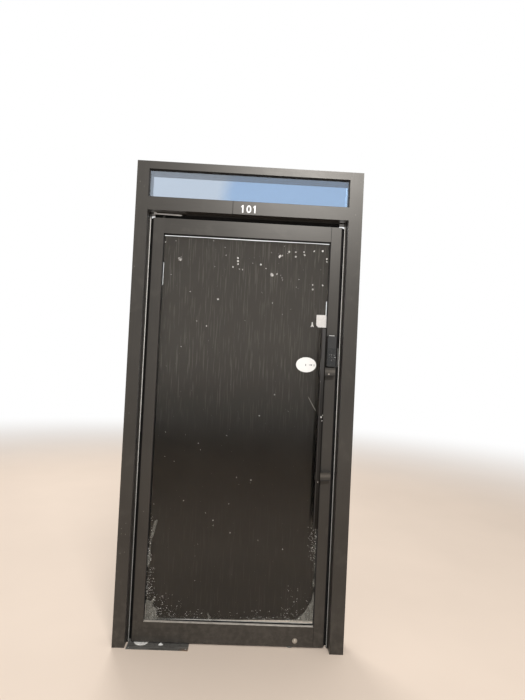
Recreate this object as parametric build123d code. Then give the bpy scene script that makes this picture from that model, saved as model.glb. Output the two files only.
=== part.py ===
from build123d import *
import os

# A single-leaf glass entrance door in its frame, in millimetres.
# X runs across the opening, Y runs to the back, Z runs up from the floor.
# The origin lies on the floor, on the pivot axis of the leaf.

# Leaf
leaf_width = 946.0
leaf_height = 2100.0
leaf_thickness = 40.0
leaf_wall = 2.5
stile_width = 52.0
stile_nose = 8.0
top_rail_height = 76.0
bottom_rail_height = 97.0
pivot_inset = 45.0

# Gaps round the leaf
floor_gap = 10.0
side_gap = 26.0
top_gap = 27.0

# Frame
jamb_width = 60.0
mullion_width = 68.0
head_height = 38.0
transom_bar_height = 65.0
transom_light_height = 139.0
frame_depth = 120.0
frame_wall = 3.0
frame_pocket_width = 22.0
frame_pocket_depth = 14.0

# Anchor holes in the frame, out to the building
anchor_hole_diameter = 9.0
anchor_count = 4
anchor_low_rise = 200.0
anchor_top_drop = 87.0
head_anchor_spacing = 600.0

# Cladding and number on the transom bar
cladding_thickness = 1.5
cladding_seam = 1.0
cladding_left_length = 419.5
digit_height = 38.0
digit_width = 24.0
digit_stroke = 6.5
digit_pitch = 30.0
digit_rise = 28.0
sticker_thickness = 0.5

# Glass and what holds it
glass_thickness = 10.0
glass_edge_cover = 12.0
transom_glass_setback = 15.0
transom_gasket_lip = 4.0
leaf_pocket_width = 18.0
leaf_pocket_depth = 15.0
gasket_depth = 10.0
gasket_lip = 1.5
setting_block_length = 100.0
setting_block_width = 14.0
film_thickness = 0.4
film_margin = 7.0

# Brush seals
carrier_flange_width = 30.0
carrier_flange = 1.5
carrier_rib_width = 10.0
carrier_rib_height = 7.0
carrier_fill_depth = 12.0
carrier_clearance = 0.2
pile_length = 10.0
top_pile_length = 16.0
pile_width = 5.0
pile_back_width = 7.0
pile_back_height = 2.0
pile_offset = 10.0
seal_floor_gap = 5.0
seal_head_gap = 25.0
top_seal_start_gap = 30.0
top_seal_end_gap = 20.0
seal_keeper_gap = 1.0

# Screws and cleats
screw_diameter = 6.0
screw_head_diameter = 11.0
screw_head_height = 3.0
small_screw_diameter = 4.0
small_head_diameter = 8.0
small_head_height = 1.5
small_screw_length = 12.0
screw_edge_room = 1.0
hole_clearance = 0.2
cleat_length = 40.0
cleat_depth = 90.0
cleat_screw_spacing = 60.0
corner_block_length = 50.0
corner_block_height = 24.0
corner_screw_spacing = 20.0

# Top pivot
pivot_block_width = 26.0
pivot_block_clearance = 0.3
pivot_block_reach = 24.0
top_socket_length = 150.0
top_socket_height = 24.0
top_pin_diameter = 14.0
top_pin_engagement = 20.0
top_pin_chamfer = 1.5
top_plate_length = 130.0
top_plate_end_to_pivot = 48.0
top_plate_width = 34.0
top_plate_thickness = 3.0
top_body_length = 90.0
running_clearance = 0.05

# Floor closer
plate_thickness = 2.0
plate_overhang = 4.0
case_wall = 2.0
case_depth = 58.0
case_pivot_room = 11.0
case_far_room = 22.0
case_side_room = 4.0
closer_length = 255.0
closer_width = 84.0
closer_height = 44.0
closer_end_to_pivot = 46.0
closer_foot_height = 10.0
closer_foot_reach = 18.0
closer_foot_length = 26.0
closer_corner = 8.0
closer_bolt_diameter = 8.0
closer_bolt_head_diameter = 13.0
closer_bolt_head_height = 5.0
bearing_wall = 5.0
bearing_height = 20.0
spindle_diameter = 26.0
spindle_neck_diameter = 16.0
spindle_square = 11.0
spindle_depth = 34.0
spindle_float = 0.3
spindle_room = 1.0
ring_diameter = 76.0
ring_height = 3.0
ring_clearance = 1.0
ring_chamfer = 1.0
arm_length = 190.0
arm_height = 22.0
arm_screw_spacing = 62.0

# Pull bars
pull_bar_size = 22.0
pull_bar_wall = 2.0
pull_bar_length = 972.0
pull_bar_bottom = 616.0
pull_bar_standoff = 36.0
pull_bar_offset = 20.0
pull_bar_corner = 2.0
bar_cap_thickness = 3.0
bar_cap_plug = 12.0
bracket_width = 42.0
bracket_height = 40.0
bracket_block_depth = 26.0
bracket_arm_thickness = 13.0
bracket_low_z = 861.0
bracket_spacing = 518.0
through_bolt_diameter = 8.0

# Keypad lock
lock_width = 48.0
lock_height = 159.0
lock_bottom = 1403.0
lock_front_depth = 24.0
lock_back_depth = 26.0
lock_body_wall = 2.5
lock_corner = 8.0
lock_bevel = 3.0
keypad_width = 38.0
keypad_height = 84.0
keypad_rise = 10.0
keypad_thickness = 2.0
keypad_sink = 1.0
key_pitch_x = 11.0
key_pitch_z = 12.0
key_diameter = 7.5
key_mark_depth = 0.3
key_rows_drop = 10.5
lock_case_thickness = 20.0
lock_case_height = 118.0
lock_case_wall = 2.0
lock_case_offset = 6.0
bolt_thickness = 10.0
bolt_height = 28.0
bolt_length = 30.5
bolt_throw = 20.0
bolt_clearance = 0.2
bolt_drop = 30.0
bolt_setback = 1.0
turn_rise = 12.0
turn_stem_diameter = 8.0
turn_cam_length = 12.0
turn_cam_width = 6.0
turn_knob_diameter = 26.0
turn_knob_depth = 6.0
turn_grip_width = 8.0
turn_grip_depth = 18.0
turn_grip_inset = 1.0

# Strike keeper
keeper_proud = 17.0
keeper_width = 20.0
keeper_height = 90.0
keeper_mouth_clearance = 2.0
keeper_tip_room = 4.0

# Bottom-rail lock and floor bolt
floor_lock_inset = 142.0
floor_lock_rise = 28.0
floor_lock_case_height = 52.0
floor_lock_case_depth = 32.0
floor_lock_case_margin = 14.0
floor_lock_collar_diameter = 25.0
floor_lock_collar_proud = 2.0
plug_diameter = 14.0
plug_depth = 24.0
plug_proud = 0.8
key_slot_width = 2.4
key_slot_height = 8.0
key_slot_depth = 6.0
floor_bolt_diameter = 14.0
floor_bolt_length = 46.0
floor_bolt_offset = 24.0
floor_bolt_lift = 1.0
floor_bolt_throw = 25.0
floor_bolt_top_room = 3.0
floor_bolt_chamfer = 1.5
socket_bore_clearance = 2.0
socket_wall = 2.0
socket_tip_room = 8.0
socket_flange_diameter = 36.0
socket_flange_height = 2.0

# Stickers on the glass
oval_width = 102.0
oval_height = 76.0
oval_thickness = 1.5
oval_inset = 95.0
oval_z = 1409.0
label_width = 51.0
label_height = 63.0
label_tear = 9.0
label_inset = 27.5
label_z = 1633.0
scrap_width = 17.0
scrap_height = 25.0
scrap_arm = 6.0
scrap_inset = 73.0
scrap_z = 1614.0

# Places that follow from the sizes
leaf_left = -pivot_inset
leaf_right = leaf_left + leaf_width
leaf_bottom = floor_gap
leaf_top = leaf_bottom + leaf_height
leaf_front = -leaf_thickness / 2
leaf_back = leaf_thickness / 2
sight_left = leaf_left + stile_width
sight_right = leaf_right - stile_width
sight_bottom = leaf_bottom + bottom_rail_height
sight_top = leaf_top - top_rail_height
opening_left = leaf_left - side_gap
opening_right = leaf_right + side_gap
opening_middle = (opening_left + opening_right) / 2
bar_bottom = leaf_top + top_gap
bar_top = bar_bottom + transom_bar_height
light_top = bar_top + transom_light_height
frame_top = light_top + head_height
frame_front = -frame_depth / 2
glass_front = -glass_thickness / 2
glass_back = glass_thickness / 2
transom_glass_y = frame_front + transom_glass_setback + glass_thickness / 2
lock_stile_middle = leaf_right - stile_width / 2
lock_chamber_left = sight_right + leaf_pocket_depth + leaf_wall
lock_chamber_right = leaf_right - leaf_wall
lock_middle_z = lock_bottom + lock_height / 2
bolt_z = lock_middle_z - bolt_drop
bolt_end = leaf_right - bolt_setback
thrown_end = bolt_end + bolt_throw
socket_depth = floor_bolt_throw - leaf_bottom - floor_bolt_lift + socket_tip_room
turn_z = lock_middle_z + turn_rise
turn_x = (lock_chamber_left + lock_chamber_right) / 2
pull_bar_x = sight_right - pull_bar_offset
pull_bar_rear = leaf_thickness / 2 + pull_bar_standoff
bracket_heights = (bracket_low_z, bracket_low_z + bracket_spacing)
rail_floor = leaf_bottom + leaf_wall
floor_lock_x = leaf_right - floor_lock_inset
floor_lock_z = leaf_bottom + floor_lock_rise
floor_bolt_x = floor_lock_x - floor_bolt_offset
closer_left = -closer_end_to_pivot
closer_right = closer_left + closer_length
case_left = closer_left - case_pivot_room - case_wall
case_right = closer_right + case_far_room + case_wall
case_side = closer_width / 2 + closer_foot_reach + case_side_room + case_wall
case_floor = -case_depth + case_wall
frame_screw_length = cleat_length + frame_wall

LEFT_IN = (1, 0, 0)
RIGHT_IN = (-1, 0, 0)
DOWN_IN = (0, 0, -1)
UP_IN = (0, 0, 1)
BACKWARD = (0, 1, 0)
FORWARD = (0, -1, 0)


def block(x, y, z):
    """A box between two X, two Y and two Z values."""
    middle = Pos((x[0] + x[1]) / 2, (y[0] + y[1]) / 2, (z[0] + z[1]) / 2)
    return middle * Box(x[1] - x[0], y[1] - y[0], z[1] - z[0])


def across(middle, size):
    """The two ends of a size laid about its middle."""
    return (middle - size / 2, middle + size / 2)


def rod(diameter, start, direction, length):
    """A round bar from a start point."""
    return extrude(Plane(start, z_dir=direction) * Circle(diameter / 2), length)


def group(solids):
    """Separate solids that share one node."""
    return Compound(children=list(solids))


def extrusion(profile, first, last, inward):
    """A profile run between two points of the face that looks inward."""
    run = Vector(*inward).cross(Vector(0, 1, 0))
    span = (Vector(*last) - Vector(*first)).dot(run)
    start = first if span > 0 else last
    return extrude(Plane(start, x_dir=inward, z_dir=run) * profile, abs(span))


def hollow_section(width, depth, wall, pocket_width, pocket_depth, near=0.0, far=None):
    """A hollow bar with a pocket in its inward face, at the depth near, and one in its far face."""
    section = Pos(-width / 2, 0) * Rectangle(width, depth)
    section -= Pos(-width / 2, 0) * Rectangle(width - 2 * wall, depth - 2 * wall)
    lined = pocket_depth + wall
    for place, side, y in ((0, -1, near), (-width, 1, far)):
        if y is not None:
            section += Pos(place + side * lined / 2, y) * Rectangle(lined, pocket_width + 2 * wall)
            section -= Pos(place + side * pocket_depth / 2, y) * Rectangle(pocket_depth, pocket_width)
    return section


def frame_section(width, near=0.0, far=None):
    return hollow_section(
        width, frame_depth, frame_wall, frame_pocket_width, frame_pocket_depth, near, far
    )


def leaf_section(width):
    return hollow_section(width, leaf_thickness, leaf_wall, leaf_pocket_width, leaf_pocket_depth)


def stile_section():
    """A stile with a hollow rounded edge, which passes the brushes as the leaf swings."""
    radius = ((leaf_thickness / 2) ** 2 + stile_nose ** 2) / (2 * stile_nose)
    centre = Pos(radius - stile_width - stile_nose, 0)
    beyond = Pos(-stile_width - stile_nose / 2, 0) * Rectangle(stile_nose, leaf_thickness)
    section = leaf_section(stile_width) + (centre * Circle(radius) & beyond)
    return section - (centre * Circle(radius - leaf_wall) & beyond)


def screw(start, direction, length, clearance=0.0):
    """A cylinder-head screw with the top of its head at start."""
    head = rod(screw_head_diameter + 2 * clearance, start, direction, screw_head_height)
    return head + rod(screw_diameter + 2 * clearance, start, direction, length + clearance)


def small_screw(start, direction, clearance=0.0):
    """A flat-head screw with its head flush at start."""
    head = rod(small_head_diameter + 2 * clearance, start, direction, small_head_height)
    length = small_screw_length + clearance
    return head + rod(small_screw_diameter + 2 * clearance, start, direction, length)


def cut(body, tools):
    """The body without each of the tools."""
    for tool in tools:
        body -= tool
    return body


# Frame members

def anchor_holes(x, direction, width):
    """Evenly spaced holes from the pocket of a jamb out to the wall."""
    step = (bar_bottom - anchor_top_drop - anchor_low_rise) / (anchor_count - 1)
    heights = [anchor_low_rise + step * index for index in range(anchor_count)]
    return [rod(anchor_hole_diameter, (x, 0, z), direction, width) for z in heights]


def cleat_rows():
    """Each cleat: the face of its jamb, the way to the middle, and its lowest and highest Z."""
    bar_low = bar_bottom + frame_pocket_depth + frame_wall
    bar_high = bar_top - frame_pocket_depth - frame_wall
    head_low = light_top + frame_pocket_depth + frame_wall
    head_high = frame_top - frame_wall
    for low, high in ((bar_low, bar_high), (head_low, head_high)):
        yield opening_left, 1, low, high
        yield opening_right, -1, low, high


def keeper_screws(clearance=0.0):
    """Screws above and below the keeper's mouth, through the seal carrier into the jamb."""
    reach = keeper_height / 2 - screw_head_diameter * 3 / 4
    x = opening_right - keeper_proud
    return [
        screw((x, lock_case_offset, z), LEFT_IN, frame_screw_length, clearance)
        for z in (bolt_z - reach, bolt_z + reach)
    ]


def cleat_screws(clearance=0.0):
    """Two screws through each cleat into the jamb."""
    screws = []
    for face, way, low, high in cleat_rows():
        for y in across(0, cleat_screw_spacing):
            start = (face + way * cleat_length, y, (low + high) / 2)
            screws.append(screw(start, (-way, 0, 0), frame_screw_length, clearance))
    return screws


def transom_pocket(face, outward, grow):
    """The pocket in a jamb for the edge of the transom glass, grown by its lining."""
    x = sorted((face, face + outward[0] * (frame_pocket_depth + grow)))
    z = (bar_top - frame_pocket_depth - grow, light_top + frame_pocket_depth + grow)
    return block(x, across(transom_glass_y, frame_pocket_width + 2 * grow), z)


def jamb(face, inward, width):
    """A jamb from floor to top, with screw and anchor holes and a pocket for the transom glass."""
    body = extrusion(frame_section(width), (face, 0, 0), (face, 0, frame_top), inward)
    outward = tuple(-value for value in inward)
    body += transom_pocket(face, outward, frame_wall)
    body -= transom_pocket(face, outward, 0)
    return cut(body, anchor_holes(face, outward, width) + cleat_screws(hole_clearance))


def make_jamb_left():
    return jamb(opening_left, LEFT_IN, jamb_width)


def make_jamb_right():
    return cut(jamb(opening_right, RIGHT_IN, mullion_width), keeper_screws(hole_clearance))


def make_head_rail():
    """The head, with its anchor holes and its pocket for the transom glass."""
    body = extrusion(
        frame_section(head_height, transom_glass_y),
        (opening_left, 0, light_top), (opening_right, 0, light_top), DOWN_IN,
    )
    holes = [
        rod(anchor_hole_diameter, (x, 0, light_top), UP_IN, head_height)
        for x in across(opening_middle, head_anchor_spacing)
    ]
    return cut(body, holes)


def make_transom_bar():
    """The bar between leaf and transom light, with a pocket in its top and its underside."""
    body = extrusion(
        frame_section(transom_bar_height, far=transom_glass_y),
        (opening_left, 0, bar_bottom), (opening_right, 0, bar_bottom), DOWN_IN,
    )
    return cut(body, small_screw_holes(pivot_screw_starts(), UP_IN))


def make_transom_cladding():
    """Two lengths of sheet on the front of the transom bar, with an open seam."""
    y = (frame_front - cladding_thickness, frame_front)
    z = (bar_bottom, bar_top)
    seam = across(opening_left + cladding_left_length, cladding_seam)
    return group([block((opening_left, seam[0]), y, z), block((seam[1], opening_right), y, z)])


def make_frame_cleats():
    """Blocks inside the rail ends, screwed to the jambs."""
    holes = cleat_screws(hole_clearance)
    cleats = []
    for face, way, low, high in cleat_rows():
        x = sorted((face, face + way * cleat_length))
        cleats.append(cut(block(x, across(0, cleat_depth), (low, high)), holes))
    return group(cleats)


def make_frame_screws():
    return group(cleat_screws() + keeper_screws())


def make_door_number():
    """The plain number 101 on the transom bar."""
    height = digit_height
    one = Rectangle(digit_stroke, height)
    flag_points = [
        (0, height / 2), (-digit_width / 3, height / 3),
        (-digit_width / 3, height / 3 - digit_stroke), (0, height / 2 - digit_stroke),
    ]
    one += make_face(Polyline(*flag_points, close=True))
    zero = Ellipse(digit_width / 2, height / 2)
    zero -= Ellipse(digit_width / 2 - digit_stroke, height / 2 - digit_stroke)
    face = Plane(
        (opening_middle, frame_front - cladding_thickness, bar_bottom + digit_rise),
        x_dir=(1, 0, 0), z_dir=FORWARD,
    )
    shapes = ((-digit_pitch, one), (0, zero), (digit_pitch, one))
    return group([
        extrude(face * Pos(x, 0) * shape, sticker_thickness) for x, shape in shapes
    ])


# Glass, film and gaskets

def glass_pane(x, z, cover, y=0.0):
    """A pane that runs into the pockets round a sight opening."""
    return block(
        (x[0] - cover, x[1] + cover), across(y, glass_thickness), (z[0] - cover, z[1] + cover)
    )


def gasket_ring(x, z, pocket_width, front, middle=0.0, lip=gasket_lip):
    """A gasket run round a pane, between its face and the pocket, with a lip over the glass."""
    near, far = glass_thickness / 2, pocket_width / 2
    y = (middle - far, middle - near) if front else (middle + near, middle + far)
    outer = block(
        (x[0] - gasket_depth, x[1] + gasket_depth), y, (z[0] - gasket_depth, z[1] + gasket_depth)
    )
    inner = block((x[0] + lip, x[1] - lip), y, (z[0] + lip, z[1] - lip))
    return outer - inner


def setting_blocks(x, z_mouth, pocket_depth, y=0.0):
    """Two blocks that carry a pane at its quarter points."""
    low = z_mouth - pocket_depth
    high = z_mouth - glass_edge_cover
    quarter = (x[1] - x[0]) / 4
    return group([
        block(across(middle, setting_block_length), across(y, setting_block_width), (low, high))
        for middle in (x[0] + quarter, x[1] - quarter)
    ])


def leaf_sight():
    return (sight_left, sight_right), (sight_bottom, sight_top)


def transom_sight():
    return (opening_left, opening_right), (bar_top, light_top)


def transom_gasket(x, z, front):
    return gasket_ring(x, z, frame_pocket_width, front, transom_glass_y, transom_gasket_lip)


def make_dark_film():
    """Blackout film on the back of the door glass, short of the frame by a clear margin."""
    x, z = leaf_sight()
    return block(
        (x[0] + film_margin, x[1] - film_margin),
        (glass_back, glass_back + film_thickness),
        (z[0] + film_margin, z[1] - film_margin),
    )


# Brush seals

def carrier_section():
    """A carrier that fills the pocket and holds a front and a rear pile strip in ribs."""
    fill_width = frame_pocket_width - 2 * carrier_clearance
    section = Pos(-carrier_fill_depth / 2, 0) * Rectangle(carrier_fill_depth, fill_width)
    section += Pos(carrier_flange / 2, 0) * Rectangle(carrier_flange, carrier_flange_width)
    back_middle = carrier_rib_height - pile_back_height
    mouth = carrier_rib_height - back_middle
    for y in (-pile_offset, pile_offset):
        section += Pos(carrier_rib_height / 2, y) * Rectangle(carrier_rib_height, carrier_rib_width)
        section -= Pos(back_middle, y) * Rectangle(pile_back_height, pile_back_width)
        section -= Pos(carrier_rib_height - mouth / 2, y) * Rectangle(mouth, pile_width)
    return section


def pile_section(y, reach):
    """A pile strip: its backing in the slot and the hairs that reach to the leaf."""
    back_middle = carrier_rib_height - pile_back_height
    section = Pos(back_middle, y) * Rectangle(pile_back_height, pile_back_width)
    length = reach + pile_back_height
    middle = carrier_rib_height + reach - length / 2
    return section + Pos(middle, y) * Rectangle(length, pile_width)


def side_seal(section, face, inward):
    """A seal part along a jamb, from just above the floor to just above the leaf."""
    high = bar_bottom - seal_head_gap
    return extrusion(section, (face, 0, seal_floor_gap), (face, 0, high), inward)


def top_seal(section):
    """A seal part under the transom bar, from past the pivot plate to short of the far jamb."""
    start = top_plate_length - top_plate_end_to_pivot + top_seal_start_gap
    end = opening_right - carrier_rib_height - pile_length - top_seal_end_gap
    return extrusion(section, (start, 0, bar_bottom), (end, 0, bar_bottom), DOWN_IN)


def seal_rows(reach, run):
    """The front and the rear pile strip of a seal, each laid by the run given."""
    return [run(pile_section(y, reach)) for y in (-pile_offset, pile_offset)]


def keeper_room():
    """What the rear rib and pile of the right seal leave free for the strike keeper."""
    return block(
        (opening_right - carrier_rib_height - pile_length, opening_right - carrier_flange),
        across(lock_case_offset, keeper_width + 2 * seal_keeper_gap),
        across(bolt_z, keeper_height + 2 * seal_keeper_gap),
    )


def make_brush_carrier_right():
    carrier = side_seal(carrier_section(), opening_right, RIGHT_IN)
    return cut(carrier, [keeper_room()] + keeper_screws(hole_clearance))


def make_brush_pile_left():
    return group(seal_rows(pile_length, lambda row: side_seal(row, opening_left, LEFT_IN)))


def make_brush_pile_right():
    front, rear = seal_rows(pile_length, lambda row: side_seal(row, opening_right, RIGHT_IN))
    return group([front] + list((rear - keeper_room()).solids()))


def make_brush_pile_top():
    return group(seal_rows(top_pile_length, top_seal))


# Small plate screws

def pivot_screw_starts():
    """Screws at the four corners of the top pivot plate."""
    left, right = top_plate_span()
    reach_y = top_plate_width / 2 - small_head_diameter / 2 - screw_edge_room
    z = bar_bottom - top_plate_thickness
    ends = (left + small_head_diameter, right - small_head_diameter)
    return [(x, y, z) for x in ends for y in (-reach_y, reach_y)]


def cover_screw_starts():
    """Screws at the four corners of the floor plate."""
    reach_y = case_side - small_head_diameter
    ends = (case_left + small_head_diameter, case_right - small_head_diameter)
    return [(x, y, plate_thickness) for x in ends for y in (-reach_y, reach_y)]


def small_screw_holes(starts, direction):
    return [small_screw(start, direction, hole_clearance) for start in starts]


def make_plate_screws():
    """The screws of the pivot plate and the cover plate."""
    screws = [small_screw(start, UP_IN) for start in pivot_screw_starts()]
    screws += [small_screw(start, DOWN_IN) for start in cover_screw_starts()]
    return group(screws)


# Top pivot

def top_plate_span():
    """The X ends of the top pivot plate."""
    return -top_plate_end_to_pivot, top_plate_length - top_plate_end_to_pivot


def make_top_pivot_plate():
    """A plate under the transom bar, with a body in the pocket that holds the pin."""
    plate = block(
        top_plate_span(), across(0, top_plate_width),
        (bar_bottom - top_plate_thickness, bar_bottom),
    )
    width = frame_pocket_width - 2 * carrier_clearance
    plate += block(
        across(sum(top_plate_span()) / 2, top_body_length), across(0, width),
        (bar_bottom, bar_bottom + frame_pocket_depth),
    )
    plate -= rod(top_pin_diameter, (0, 0, bar_bottom - top_plate_thickness), UP_IN, frame_pocket_depth)
    return cut(plate, small_screw_holes(pivot_screw_starts(), UP_IN))


def make_top_pivot_pin():
    low = leaf_top - leaf_wall - top_pin_engagement
    high = bar_bottom - top_plate_thickness + frame_pocket_depth
    pin = rod(top_pin_diameter, (0, 0, low), UP_IN, high - low)
    return chamfer(pin.edges().sort_by(Axis.Z)[0], top_pin_chamfer)


def top_socket_span():
    """The X and Z ends of the block that turns on the top pin."""
    x = (-pivot_block_reach, top_socket_length - pivot_block_reach)
    return x, (leaf_top - leaf_wall - top_socket_height, leaf_top - leaf_wall)


def make_top_pivot_socket():
    x, z = top_socket_span()
    body = block(x, across(0, pivot_block_width), z)
    bore = top_pin_diameter + 2 * running_clearance
    return body - rod(bore, (0, 0, z[0]), UP_IN, top_socket_height)


# Floor closer

def make_floor_case():
    """The open steel box that is cast into the floor."""
    y = (-case_side, case_side)
    outer = block((case_left, case_right), y, (-case_depth, 0))
    inner = block(
        (case_left + case_wall, case_right - case_wall),
        (y[0] + case_wall, y[1] - case_wall), (case_floor, 0),
    )
    lugs = [
        block(across(x, 2 * small_head_diameter), across(y, 2 * small_head_diameter),
              (-small_screw_length, 0))
        for x, y, _ in cover_screw_starts()
    ]
    body = outer - inner
    for lug in lugs:
        body += lug & outer
    holes = small_screw_holes(cover_screw_starts(), DOWN_IN) + closer_bolts(hole_clearance)
    return cut(body, holes)


def closer_feet():
    """The middle of each foot of the closer."""
    y = closer_width / 2 + closer_foot_reach / 2
    ends = (closer_left + closer_foot_length, closer_right - closer_foot_length)
    return [(x, side * y) for x in ends for side in (-1, 1)]


def closer_bolts(clearance=0.0):
    """Bolts through the feet of the closer into the floor of its case."""
    top = case_floor + closer_foot_height
    bolts = []
    for x, y in closer_feet():
        shank = rod(closer_bolt_diameter + 2 * clearance, (x, y, -case_depth), UP_IN, top + case_depth)
        head = rod(closer_bolt_head_diameter, (x, y, top), UP_IN, closer_bolt_head_height)
        bolts.append(shank + head)
    return bolts


def make_closer_body():
    """The cast body of the floor closer, with its feet and the seat of the spindle bearing."""
    top = case_floor + closer_height
    body = block((closer_left, closer_right), across(0, closer_width), (case_floor, top))
    body = fillet(body.edges().filter_by(Axis.Z), closer_corner)
    for x, y in closer_feet():
        body += block(
            across(x, closer_foot_length), across(y, closer_foot_reach),
            (case_floor, case_floor + closer_foot_height),
        )
    outer = spindle_diameter + 2 * running_clearance + 2 * bearing_wall
    body -= rod(outer, (0, 0, top - bearing_height), UP_IN, bearing_height)
    body -= rod(spindle_diameter + 2 * spindle_room, (0, 0, top - spindle_depth), UP_IN, spindle_depth)
    return cut(body, closer_bolts(hole_clearance))


def make_spindle_bearing():
    """The bush in the closer that the spindle turns in."""
    top = case_floor + closer_height
    bore = spindle_diameter + 2 * running_clearance
    outer = rod(bore + 2 * bearing_wall, (0, 0, top - bearing_height), UP_IN, bearing_height)
    return outer - rod(bore, (0, 0, top - bearing_height), UP_IN, bearing_height)


def make_cover_plate():
    """The steel plate that covers the closer, flush over its case."""
    x = (case_left - plate_overhang, case_right + plate_overhang)
    plate = block(x, across(0, 2 * (case_side + plate_overhang)), (0, plate_thickness))
    plate -= rod(spindle_diameter + 2 * ring_clearance, (0, 0, 0), UP_IN, plate_thickness)
    return cut(plate, small_screw_holes(cover_screw_starts(), DOWN_IN))


def make_spindle_ring():
    """The pale dust ring round the spindle, on the cover plate."""
    start = (0, 0, plate_thickness)
    ring = rod(ring_diameter, start, UP_IN, ring_height)
    ring = chamfer(ring.edges().sort_by(Axis.Z)[-1], ring_chamfer)
    return ring - rod(spindle_diameter + 2 * ring_clearance, start, UP_IN, ring_height)


def make_floor_spindle():
    """The spindle that carries the leaf: round in the closer, square in the arm."""
    low = case_floor + closer_height - spindle_depth + spindle_float
    shoulder = plate_thickness
    body = rod(spindle_diameter, (0, 0, low), UP_IN, shoulder - low)
    body += rod(spindle_neck_diameter, (0, 0, shoulder), UP_IN, rail_floor - shoulder)
    square = across(0, spindle_square)
    return body + block(square, square, (rail_floor, rail_floor + arm_height))


def arm_span():
    return -pivot_block_reach, arm_length - pivot_block_reach


def make_bottom_arm():
    """The arm in the bottom rail that the spindle drives."""
    x = arm_span()
    body = block(x, across(0, pivot_block_width), (rail_floor, rail_floor + arm_height))
    square = across(0, spindle_square)
    body -= block(square, square, (rail_floor, rail_floor + arm_height))
    return cut(body, arm_screws(hole_clearance))


def arm_screws(clearance=0.0):
    """Screws up through the floor of the bottom rail into the arm."""
    end = arm_span()[1]
    return [
        screw((x, 0, leaf_bottom), UP_IN, arm_height, clearance)
        for x in (end - screw_head_diameter - arm_screw_spacing, end - screw_head_diameter)
    ]


def make_floor_bolt_socket():
    """The sleeve in the floor that the floor bolt drops into."""
    bore = floor_bolt_diameter + 2 * socket_bore_clearance
    start = (floor_bolt_x, 0, -socket_depth)
    body = rod(bore + 2 * socket_wall, start, UP_IN, socket_depth)
    body += rod(socket_flange_diameter, (floor_bolt_x, 0, 0), UP_IN, socket_flange_height)
    return body - rod(bore, start, UP_IN, socket_depth + socket_flange_height)


# Leaf frame

def corner_rows():
    """Each corner block: the rail's end, the way to the middle, and its lowest and highest Z."""
    top_low = sight_top + leaf_pocket_depth + leaf_wall
    bottom_high = sight_bottom - leaf_pocket_depth - leaf_wall
    for low in (top_low, bottom_high - corner_block_height):
        yield sight_left, 1, low, low + corner_block_height
        yield sight_right, -1, low, low + corner_block_height


def corner_screws(clearance=0.0):
    """Two screws through each stile into a corner block."""
    length = stile_width + corner_block_length / 2
    screws = []
    for end, way, low, high in corner_rows():
        for y in across(0, corner_screw_spacing):
            start = (end - way * stile_width, y, (low + high) / 2)
            screws.append(screw(start, (way, 0, 0), length, clearance))
    return screws


def screw_access():
    """Holes through the rounded edges of the stiles, as wide as the screw heads."""
    diameter = screw_head_diameter + 2 * hole_clearance
    return [
        rod(diameter, (end - way * (stile_width + stile_nose), y, (low + high) / 2), (way, 0, 0), stile_nose)
        for end, way, low, high in corner_rows()
        for y in across(0, corner_screw_spacing)
    ]


def make_hinge_stile():
    """The stile on the pivot side, notched at both ends for the pivot block and the arm."""
    body = extrusion(
        stile_section(),
        (sight_left, 0, leaf_bottom), (sight_left, 0, leaf_top), LEFT_IN,
    )
    width = across(0, pivot_block_width + 2 * pivot_block_clearance)
    notch_x = (-pivot_block_reach - pivot_block_clearance, sight_left)
    socket_low = top_socket_span()[1][0]
    arm_high = rail_floor + arm_height
    body -= block(notch_x, width, (socket_low - pivot_block_clearance, leaf_top))
    body -= block(notch_x, width, (leaf_bottom, arm_high + pivot_block_clearance))
    return cut(body, screw_access() + corner_screws(hole_clearance))


def make_lock_stile():
    """The stile on the lock side, drilled for the lock and the pull bars."""
    body = extrusion(
        stile_section(),
        (sight_right, 0, leaf_bottom), (sight_right, 0, leaf_top), RIGHT_IN,
    )
    body -= bolt_shape(bolt_clearance, lock_chamber_right, leaf_right + stile_nose)
    body -= turn_stem(hole_clearance)
    holes = screw_access() + corner_screws(hole_clearance) + handle_bolts(hole_clearance)
    return cut(body, holes)


def rail_body(height, face_z, inward):
    """A rail between the stiles."""
    return extrusion(
        leaf_section(height), (sight_left, 0, face_z), (sight_right, 0, face_z), inward
    )


def make_top_rail():
    return rail_body(top_rail_height, sight_top, DOWN_IN)


def make_bottom_rail():
    """The bottom rail, open for the key plug, the floor bolt and the arm screws."""
    body = rail_body(bottom_rail_height, sight_bottom, UP_IN)
    neck = spindle_neck_diameter + 2 * pivot_block_clearance
    body -= rod(neck, (0, 0, leaf_bottom), UP_IN, leaf_wall)
    collar = floor_lock_collar_diameter + 2 * hole_clearance
    body -= rod(collar, (floor_lock_x, leaf_front, floor_lock_z), BACKWARD, leaf_wall)
    bolt_hole = floor_bolt_diameter + 2 * hole_clearance
    body -= rod(bolt_hole, (floor_bolt_x, 0, leaf_bottom), UP_IN, leaf_wall)
    return cut(body, arm_screws(hole_clearance))


def make_corner_blocks():
    """Blocks inside the rail ends that tie them to the stiles."""
    holes = corner_screws(hole_clearance)
    width = across(0, leaf_thickness - 2 * leaf_wall)
    blocks = []
    for end, way, low, high in corner_rows():
        x = sorted((end, end + way * corner_block_length))
        blocks.append(cut(block(x, width, (low, high)), holes))
    return group(blocks)


def make_leaf_screws():
    return group(corner_screws() + arm_screws())


# Pull bars

def pull_bar(side):
    """A square tube on the front (-1) or the back (1) of the leaf."""
    y = side * (pull_bar_rear + pull_bar_size / 2)
    section = RectangleRounded(pull_bar_size, pull_bar_size, pull_bar_corner)
    section -= Rectangle(pull_bar_size - 2 * pull_bar_wall, pull_bar_size - 2 * pull_bar_wall)
    return extrude(Pos(pull_bar_x, y, pull_bar_bottom) * section, pull_bar_length)


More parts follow.
